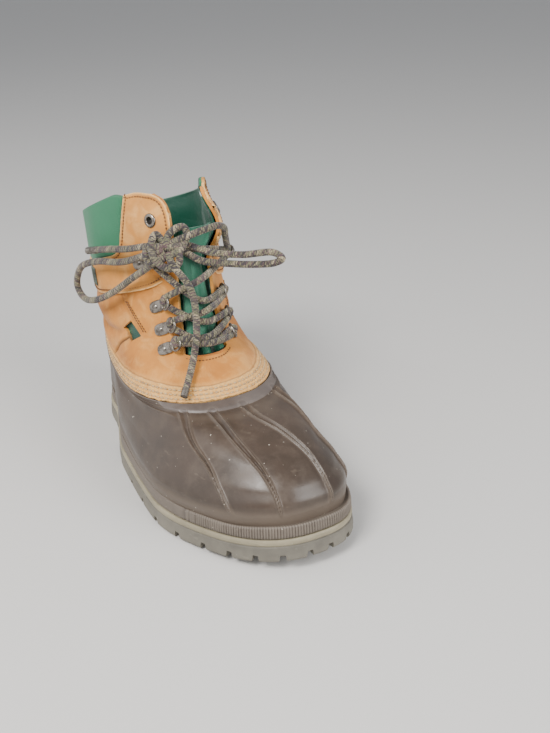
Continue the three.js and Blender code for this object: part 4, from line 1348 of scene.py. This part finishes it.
def make_upper():
    """Vamp and quarters: one hollow leather form, open at the collar and throat, double at its foot."""
    left, right = THROAT_COLUMNS
    columns = np.unique(np.concatenate([np.linspace(0, left, 171), np.linspace(left, right, 61),
                                        np.linspace(right, 2, 173)]))
    levels = np.concatenate([np.linspace(5.05, 5.8, 40), np.linspace(5.83, 6.93, 32),
                             np.linspace(6.96, 9.97, 84)])
    u, share = np.meshgrid(levels, columns, indexing="ij")
    turn = throat_turns(u, share)
    faces = grid_faces(*u.shape)
    centres_u = u.ravel()[faces].mean(1)
    centres_s = share.ravel()[faces].mean(1)
    in_throat = (centres_u > THROAT_FOOT) & (centres_s > left) & (centres_s < right)
    faces = faces[~in_throat]
    row = int(np.argmin(np.abs(levels - THROAT_FOOT)))
    dip = 0.1 * (1 - np.clip(np.abs(columns - THROAT_MIDDLE) / THROAT_HALF, 0, 1) ** 4)
    for k, share_left in ((row, 1.0), (row - 1, 0.6), (row - 2, 0.25)):
        u[k] = u[k] - dip * share_left
    holes = [hole_at(on_side(FLEX_HOLE, inner)) for inner in (False, True)]
    holes += [hole_at(circle(*spot, GROMMET_HOLE)) for spot in GROMMETS.values()]
    at, out, up, _ = surface(u, turn)
    relief = upper_relief(at, u)
    step, soil = seam_steps(at)
    frayed = 0.35 * ripple(at, 5.0, 21) + 0.25 * ripple(at, 2.2, 22)
    band_top = FOOT_BAND + 0.02 * ripple(at, 26, 23) + 0.012 * ripple(at, 7, 24)
    doubled = 1 - rounded((u - band_top) / 0.05)
    off = 0.2 + relief * rounded((u - 5.45) / 0.5) + step + doubled * (1.1 + 0.5 * frayed)
    for level in FOOT_ROWS:
        off = off - 0.5 * hump(u - level, 0.04)
    points = at + out * off[..., None]
    low = rounded((5.12 - u) / 0.07)
    points = points + up * (low * frayed * 1.7)[..., None]
    worn = doubled * (0.8 + 0.35 * frayed) + 0.3 * hump(u - band_top - 0.08, 0.12)
    throat_near = distance(at, on_skin(list(zip(THROAT_LEVELS[1:8], THROAT_OUTER[1:8]))))
    worn = np.clip(worn + 0.5 * hump(throat_near, 1.2), 0, 1)
    # Painted shade along the leather's foot, above the doubled band's edge and in the deep crease on the
    # outer side.
    soil = soil + 0.5 * hump(u - 5.06, 0.03) + 0.5 * hump(u - band_top - 0.05, 0.035)
    soil = soil + 0.3 * hump(distance(at, on_skin([(6.66, 0.3), (6.66, 0.439), (6.95, 0.54)])), 3)
    mesh = mesh_of("upper_nubuck", points, faces, [LEATHER], measured(points),
                   {"worn": worn, "soil": np.clip(soil, 0, 1)}, fold=LEATHER_WALL, holes=holes)
    new_object("upper_nubuck", mesh, "leather_upper")
    for knots in SEAM_STITCHES:
        for inner in (False, True):
            stitch("brown", on_side(knots, inner), 0.5, 2.4)
    for level in FOOT_ROWS:
        stitch("pale", [(level, t) for t in np.linspace(0.001, 1.999, 60)], 1.3, 3.7)
    stitch("brown", [(6.78, 0.87), (6.7, 0.93), (6.68, 1.0), (6.7, 1.07), (6.78, 1.13)], 0.7, 2.4)


make_upper()

# Overlays on the leather: the panel's thickness and the rows of its roll, then the cuff's edges
PANEL_THICK = 5.4
ROLL_ROWS = 7
CUFF_TURNS = [0, 0.2, 0.38, 0.55, 0.68, 0.76, 0.81, 0.845, 0.87, 0.889]
CUFF_LOW = [7.75, 7.75, 7.8, 8.15, 8.5, 8.72, 8.88, 9.02, 9.16, 9.36]
FLAP_TURNS = [0, 0.8, 0.81, 0.85, 0.878, 0.889]
FLAP_TOP = [9.97, 9.97, 9.96, 9.9, 9.8, 9.7]
FLAP_FRONT = 0.889
FLAP_BACK = 0.002
WINDOW_TURNS = [0, 0.2, 0.372, 0.47, 0.528, 0.57, 0.593, 0.608, 0.62, 0.64, 0.672]
WINDOW_EDGE = [8.68, 8.7, 8.8, 8.98, 9.1, 9.18, 9.26, 9.38, 9.54, 9.78, 10.12]
WINDOW_FRONT = 0.672
STITCH_INSET = 2.7


def cuff_low(turn):
    """The cuff's lower edge as a level."""
    return smooth(CUFF_TURNS, CUFF_LOW, np.abs(turn))


def window_edge(turn):
    """The lower edge of the panel's window as a level, leaning up to the collar at its front."""
    return smooth(WINDOW_TURNS, WINDOW_EDGE, np.abs(turn))


def collar_rise(turn):
    """How far, in levels, the collar stands up above its plain line where the panel meets the flap."""
    near = np.abs(turn)
    return np.where(turn < 0, 0.13, 0.07) * rounded((near - 0.42) / 0.25) * (1 - rounded((near - 0.7) / 0.12))


def cuff_top(turn):
    """The cuff's upper edge as a level: the window's edge, then the flap's top with its round corner."""
    flap = smooth(FLAP_TURNS, FLAP_TOP, np.abs(turn)) + collar_rise(turn)
    return np.where(np.abs(turn) < WINDOW_FRONT, np.minimum(window_edge(turn), flap), flap)


def flap_turn(u, plain):
    """Leads the flap's columns up to the throat's edge; the inner flap is narrower."""
    held = np.minimum(u, FLAP_TOP[-1])
    outer = smooth(THROAT_LEVELS, THROAT_OUTER, held)
    inner = 2 - smooth(THROAT_LEVELS, THROAT_INNER, held)
    reach = np.where(plain < 0, inner, outer) - np.where(u > FLAP_TOP[-1], 0, FLAP_BACK)
    share = np.maximum(0, (np.abs(plain) - WINDOW_FRONT) / (FLAP_FRONT - WINDOW_FRONT))
    led = WINDOW_FRONT + share * (reach - WINDOW_FRONT)
    return np.sign(plain) * np.where(share > 0, led, np.abs(plain))


CUFF_DENT = [(8.86, 0.82), (8.95, 0.78), (9.0, 0.745)]
CUFF_LINES = [
    (CUFF_DENT, -2.2, 6),
    ([(8.3, 0.55), (8.55, 0.63), (8.75, 0.7)], 1.0, 6),
    ([(8.9, 0.4), (8.8, 0.5), (8.95, 0.6)], -0.9, 6),
]


def cuff_relief(at):
    """The cuff's own unevenness, with its dents and its bulge."""
    return 0.5 * ripple(at, 60, 31) + relief_lines(at, CUFF_LINES)


def cuff_outline(side):
    """The outline of one half of the cuff in (u, plain turn): low edge, front, top and window."""
    low = [(float(cuff_low(t)), t) for t in np.linspace(0, FLAP_FRONT, 90)]
    front = [(u, FLAP_FRONT) for u in np.linspace(CUFF_LOW[-1], FLAP_TOP[-1], 8)[1:-1]]
    top = [(float(cuff_top(t)), t) for t in np.linspace(FLAP_FRONT, WINDOW_FRONT + 0.004, 40)]
    window = [(float(window_edge(t)), t) for t in np.linspace(WINDOW_FRONT - 0.002, 0, 80)]
    line = np.array([*low, *front, *top, *window])
    return np.stack([line[:, 0], flap_turn(line[:, 0], side * line[:, 1])], -1)


def make_cuff():
    """The leather cuff with its two eyelet flaps and the window for the panel."""
    half = np.concatenate([np.linspace(0, 0.56, 110), np.linspace(0.563, WINDOW_FRONT - 0.0004, 60),
                           np.linspace(WINDOW_FRONT, FLAP_FRONT, 90)])
    columns = np.concatenate([-half[:0:-1], half])
    share, plain = np.meshgrid(np.linspace(0, 1, 72), columns, indexing="ij")
    low = cuff_low(plain)
    u = low + (cuff_top(plain) - low) * share
    turn = flap_turn(u, plain)
    at, out, _, _ = surface(u, turn)
    relief = upper_relief(at, u) * rounded((8.6 - u) / 1.0) + cuff_relief(at)
    near = np.full(u.shape, 1e9)
    for side in (1, -1):
        line = cuff_outline(side)
        near = np.minimum(near, distance(at, skin(line[:, 0], line[:, 1])))
        row = evenly(beside(line, side * STITCH_INSET)[3:-3], 0.01)
        stitch_points("brown", skin(row[:, 0], row[:, 1], CUFF_GAP + CUFF_WALL + 0.1), 2.5, row)
    off = CUFF_GAP + CUFF_WALL + relief - 0.6 * (1 - rounded(near / 1.1))
    off = off - 0.3 * hump(near - STITCH_INSET, 0.8)
    points = at + out * off[..., None]
    worn = 0.85 * (1 - rounded((near - 0.2) / 1.3))
    # Painted shade in the stitch furrow and in the dent under the cuff's front.
    soil = 0.4 * hump(near - STITCH_INSET, 0.6) + 0.8 * hump(distance(at, on_skin(CUFF_DENT)), 5)
    holes = [hole_at(circle(*spot, GROMMET_HOLE)) for spot in GROMMETS.values()]
    mesh = mesh_of("cuff_nubuck", points, grid_faces(*u.shape), [CUFF_LEATHER], measured(points),
                   {"worn": worn, "soil": np.clip(soil, 0, 1)}, fold=CUFF_WALL + 0.3, holes=holes)
    new_object("cuff_nubuck", mesh, "cuff")


make_cuff()


def make_panel():
    """The padded green panel, set in the cuff's window and rolled over the collar."""
    columns = np.linspace(-WINDOW_FRONT, WINDOW_FRONT, 241)
    share, turn = np.meshgrid(np.linspace(0, 1, 60), columns, indexing="ij")
    low = window_edge(turn) - 0.07
    high = COLLAR + collar_rise(turn) - np.where(turn < 0, 0.17, 0.08) * rounded((np.abs(turn) - 0.61) / 0.06)
    low = np.minimum(low, high - 0.05)
    u = low + (high - low) * share
    at, out, up, _ = surface(u, turn)
    edge_turns = np.linspace(-WINDOW_FRONT, WINDOW_FRONT, 200)
    near = distance(at, skin(window_edge(edge_turns), edge_turns))
    swell = 1 - np.exp(-near / 4.0)
    top = at + out * (0.7 + 0.7 * swell + 0.3 * ripple(at, 30, 41) * swell)[..., None]
    over = []
    for angle in np.linspace(0, np.pi, ROLL_ROWS + 2)[1:-1]:
        lean = (1 - np.cos(angle)) / 2
        over.append(top[-1] - out[-1] * (lean * PANEL_THICK) + up[-1] * (np.sin(angle) * 1.3))
    for level in np.linspace(COLLAR, 9.0, 16):
        here, way, _, _ = surface(np.full(columns.shape, level), columns)
        over.append(here - way * (PANEL_THICK - 1.8 + 0.8 * math.sin(math.pi * (COLLAR - level)) ** 2))
    points = np.concatenate([top, np.stack(over)])
    ends = []
    for column in (0, -1):
        middle = (top[-1, column] + points[len(top) + ROLL_ROWS, column]) / 2
        gap = np.linalg.norm(points[:, column] - middle, axis=1, keepdims=True)
        ends.append(middle + (points[:, column] - middle) * np.where(gap < PANEL_THICK, 0.05, 1.0))
    points = np.concatenate([ends[0][:, None], points, ends[1][:, None]], 1)
    # Painted shade where the panel tucks under the cuff's window edge.
    soil = np.zeros(points.shape[:2])
    soil[: len(top), 1:-1] = 0.6 * (1 - rounded(near / 1.6))
    faces = grid_faces(*points.shape[:2])
    lined = faces[:, 0] // points.shape[1] > len(top) + 4
    mesh = mesh_of("panel_nylon_padded", points, faces, [PANEL, LINING], measured(points), {"soil": soil},
                   lined, sharp=80)
    made = new_object("panel_nylon_padded", mesh, "collar_panel")


make_panel()


def make_lining():
    """The glossy padded lining inside the shaft, with its rolled edge behind the leather's."""
    columns = np.linspace(0, 2, 301)
    before = columns <= THROAT_COLUMNS[0] + 1e-4
    split = int(np.sum(before))
    columns = columns[before | (columns >= THROAT_COLUMNS[1] - 1e-4)]
    levels = np.linspace(6.2, 9.93, 70)
    u, share = np.meshgrid(levels, columns, indexing="ij")
    turn = throat_turns(u, share)
    faces = grid_faces(*u.shape)
    seam = (faces[:, 0] % len(columns)) == split - 1
    faces = faces[~seam]
    at, out, _, _ = surface(u, turn)
    puff = 1.3 * np.sin(np.pi * np.clip((u - 8.6) / 1.4, 0, 1)) + 0.5 * ripple(at, 26, 51)
    dent = np.minimum(upper_relief(at, u), 0)
    points = at - out * (LEATHER_WALL + 0.7 + np.maximum(puff, 0) - dent)[..., None]
    # Painted shade, darker down inside the shaft.
    mesh = mesh_of("lining_padded", points, faces[:, ::-1], [LINING], measured(points),
                   {"soil": np.clip((7.6 - u) / 1.4, 0, 0.8)}, fold=0.9,
                   holes=[hole_at(circle(*spot, GROMMET_HOLE + 0.2)) for spot in GROMMETS.values()])
    new_object("lining_padded", mesh, "leather_upper")


make_lining()

# The tongue's levels, the flex patches' middle and half size, and the tab's corner and size,
# all as levels and turns
TONGUE_LOW = 6.5
TONGUE_TOP = 9.55
PATCH_MIDDLE = (7.22, 0.618)
PATCH_HALF = (0.4, 0.054)
TAB_CORNER = (8.12, 0.411)
TAB_REACH = (0.56, 0.041)


def make_tongue():
    """The padded tongue with its gusset: soft upright folds, deepest at the throat's foot."""
    share, across = np.meshgrid(np.linspace(0, 1, 110), np.linspace(-1, 1, 141), indexing="ij")
    u = TONGUE_LOW + (TONGUE_TOP - TONGUE_LOW) * share
    turn = 1 + (0.2 + 0.03 * share) * across
    at, out, _, _ = surface(u, turn)
    low = 1 - rounded(share / 0.55)
    wave = np.cos(across * np.pi * 4.3 + 0.6 * np.sin(share * 6))
    folds = (np.abs(wave) ** 0.5 * np.sign(wave)) * (3.4 * low + 0.4)
    puff = 2.4 * (1 - across**2) ** 0.7 * (0.4 + 0.6 * np.sin(np.pi * np.clip(share * 1.05, 0, 1)))
    sag = 0.6 * ripple(at, 24, 61) + 0.3 * ripple(at, 11, 62)
    gusset = 1.6 * hump(np.abs(across) - 0.62, 0.28) * low
    off = -LEATHER_WALL - 2.6 + puff + folds * (1 - 0.4 * np.abs(across)) + sag + gusset
    inner = np.maximum(rounded((np.abs(across) - 0.53) / 0.13), rounded((6.98 - u) / 0.1))
    off = off * (1 - inner) + (-LEATHER_WALL - 3.8) * inner
    points = at + out * off[..., None]
    back = at - out * (LEATHER_WALL + 6.4)
    # Painted shade in the hollows of the folds low on the tongue.
    soil = np.clip(1.3 * low * rounded((0.1 - wave) / 0.9), 0, 1)
    top = grid_faces(*share.shape)
    count = share.size
    rows, columns = share.shape
    ring = [*range(columns), *(i * columns + columns - 1 for i in range(1, rows)),
            *(count - 1 - k for k in range(1, columns)), *(i * columns for i in range(rows - 2, 0, -1))]
    rim = [[b, a, a + count, b + count] for a, b in zip(ring, ring[1:] + ring[:1])]
    faces = np.concatenate([top, top[:, ::-1] + count, np.array(rim)])
    both = np.concatenate([points.reshape(-1, 3), back.reshape(-1, 3)])
    cloth = np.concatenate([measured(points).reshape(-1, 2)] * 2)
    mesh = mesh_of("tongue_padded", both, faces, [TONGUE], cloth,
                   {"soil": np.concatenate([soil.ravel()] * 2)}, sharp=80)
    made = new_object("tongue_padded", mesh, "tongue")


make_tongue()


def make_flex_patches():
    """The green nylon behind each diamond hole, creased from the flexing."""
    for inner in (False, True):
        share, across = np.meshgrid(np.linspace(-1, 1, 30), np.linspace(-1, 1, 30), indexing="ij")
        u = PATCH_MIDDLE[0] + PATCH_HALF[0] * share
        turn = mirrored(PATCH_MIDDLE[1] + PATCH_HALF[1] * across, inner)
        at, out, _, _ = surface(u, turn)
        off = -LEATHER_WALL - 3.6 + 1.5 * (1 - np.abs(share * 0.8 + across * 0.6)) + 0.3 * ripple(at, 6, 71)
        points = at + out * off[..., None]
        faces = grid_faces(*u.shape)
        if inner:
            faces = faces[:, ::-1]
        side = "inner" if inner else "outer"
        # A slight even painted shade over the patch, which sits behind its hole.
        mesh = mesh_of("patch_nylon_" + side, points, faces, [TONGUE], measured(points),
                       {"soil": np.full(u.shape, 0.1)}, fold=0.8)
        new_object("patch_nylon_" + side, mesh, "flex_patch_" + side)


make_flex_patches()


def make_tab():
    """The small plain webbing tab on the outer side of the cuff."""
    share, across = np.meshgrid(np.linspace(0, 1, 16), np.linspace(0, 1, 10), indexing="ij")
    u = TAB_CORNER[0] + TAB_REACH[0] * share
    turn = TAB_CORNER[1] + TAB_REACH[1] * across
    edge_gap = np.minimum(np.minimum(share, 1 - share) * 12, np.minimum(across, 1 - across) * 6)
    at, out, _, _ = surface(u, turn)
    off = CUFF_GAP + CUFF_WALL + 0.5 + 1.0 * rounded(edge_gap / 0.8) + cuff_relief(at)
    points = at + out * off[..., None]
    mesh = mesh_of("tab_webbing", points, grid_faces(*u.shape), [WEBBING], measured(points), fold=1.2)
    new_object("tab_webbing", mesh, "side_tab")


make_tab()


def lathe(profile, centre, axis, sides=40):
    """Points, faces and UV of a closed (radius, height) profile turned about an axis."""
    axis = axis / np.linalg.norm(axis)
    first = unit(np.cross(axis, [0.31, 0.2, 0.93]))
    second = np.cross(axis, first)
    angle = np.linspace(0, 2 * np.pi, sides + 1)
    profile = np.array([*profile, profile[0]])
    ring = first[None] * np.cos(angle)[:, None] + second[None] * np.sin(angle)[:, None]
    points = centre + ring[None] * profile[:, 0][:, None, None] + axis * profile[:, 1][:, None, None]
    return points.reshape(-1, 3), grid_faces(len(profile), sides + 1), np.zeros((points.size // 3, 2))


def make_grommets():
    """Rolled steel grommets through the flaps."""
    for side, spot in GROMMETS.items():
        at, out, _, _ = (v[0] for v in surface(np.array(spot[:1]), np.array(spot[1:])))
        top = at + out * (CUFF_GAP + CUFF_WALL - 0.1)
        mesh = list_mesh("grommet_rolled_" + side, [lathe(GROMMET_RIM, top, out)], NICKEL)
        new_object("grommet_rolled_" + side, mesh, "grommet_" + side)


make_grommets()


def clip_plate(held):
    """The clip's tongue: a rounded plate, domed at its rivet and rolled round the ring's wire."""
    count = 26
    angle = np.linspace(0, 2 * np.pi, count, endpoint=False)
    outline = np.stack([np.sign(np.cos(angle)) * np.abs(np.cos(angle)) ** 0.62 * CLIP_LONG,
                        np.sign(np.sin(angle)) * np.abs(np.sin(angle)) ** 0.75 * CLIP_WIDE], -1)
    side_way = np.cross(held["out"], held["way"])
    centre = held["base"] - held["way"] * CLIP_BACK
    rows = []
    for grow, high in PLATE_RINGS:
        flat = centre + outline[:, :1] * grow * held["way"] + outline[:, 1:] * grow * side_way
        folded = 0.5 * rounded((outline[:, :1] * grow - 0.6) / 0.8)
        rows.append(flat + held["out"] * (high + folded * (high > 0)))
    points = np.stack(rows)
    points = np.concatenate([points, points[:, :1]], 1)
    plate = (points.reshape(-1, 3), grid_faces(len(rows), count + 1), np.zeros((points.size // 3, 2)))
    rivet = lathe(RIVET, centre - held["way"] * 1.4, held["out"], 20)
    heel = held["base"] + held["way"] * 0.6 + held["out"] * 1.3
    path = np.linspace(heel - side_way * BARREL_HALF, heel + side_way * BARREL_HALF, len(BARREL_RADII))
    barrel = tube(path, np.array(BARREL_RADII), 16)
    return [plate, rivet, barrel]


def clip_ring(held):
    """The ring, a D with its straight side in the clip."""
    side_way = np.cross(held["out"], held["way"])
    angle = np.linspace(0, 2 * np.pi, 49)[:, None]
    flat = np.maximum(np.cos(angle), -0.78) * RING_RADIUS
    path = held["ring"] + flat * held["lean"] + np.sin(angle) * RING_RADIUS * 1.02 * side_way
    return [tube(path, RING_WIRE / 2, 10, caps=False)]


def make_clips():
    """Folded steel clips with their rings."""
    for name in CLIPS:
        for inner in (False, True):
            side = "inner" if inner else "outer"
            held = clip_frame(name, inner)
            label = f"clip_steel_{name}_{side}"
            mesh = list_mesh(label, clip_plate(held) + clip_ring(held), NICKEL)
            new_object(label, mesh, f"clip_{name}_{side}")


make_clips()

tree = stitch_tree()
make_stitching("stitching_brown", "brown", tree, THREAD, 1.9, 0.95)
make_stitching("stitching_pale", "pale", tree, PALE_THREAD, 3.1, 1.5)
bpy.data.node_groups.remove(tree)

# Studio: each light's name, place and size in metres, power and tint
LIGHTS = (
    ("key", (0.45, -0.75, 1.15), 0.5, 24.0, (1.0, 0.97, 0.93)),
    ("fill", (-0.35, -1.15, 0.6), 2.2, 17.0, (1.0, 0.98, 0.97)),
    ("front", (1.15, 0.5, 0.66), 0.85, 20.0, (1.0, 0.98, 0.96)),
)
LIGHT_AIM = Vector((0, 0, 0.08))
SKY_TINT = (0.82, 0.84, 0.88, 1)
SKY_POWER = 0.55
FLOOR_HALF = 12.0


def make_stage():
    """A plain pale floor and soft studio light."""
    mesh = bpy.data.meshes.new("floor")
    corners = [(x * FLOOR_HALF, y * FLOOR_HALF, 0) for x, y in ((-1, -1), (1, -1), (1, 1), (-1, 1))]
    mesh.from_pydata(corners, [], [[0, 1, 2, 3]])
    f = Finish("floor_paint")
    mesh.materials.append(f.done(Base_Color="c9c8c6", Roughness=0.75))
    floor = bpy.data.objects.new("floor", mesh)
    bpy.context.scene.collection.objects.link(floor)
    world = bpy.data.worlds.new("studio")
    world.use_nodes = True
    sky = world.node_tree.nodes["Background"]
    sky.inputs["Color"].default_value = SKY_TINT
    sky.inputs["Strength"].default_value = SKY_POWER
    bpy.context.scene.world = world
    for name, spot, size, power, tint in LIGHTS:
        data = bpy.data.lights.new(name, "AREA")
        data.size = size
        data.energy = power
        data.color = tint
        light = bpy.data.objects.new(name, data)
        light.location = spot
        aim = LIGHT_AIM - Vector(spot)
        light.rotation_euler = aim.to_track_quat("-Z", "Y").to_euler()
        bpy.context.scene.collection.objects.link(light)


make_stage()
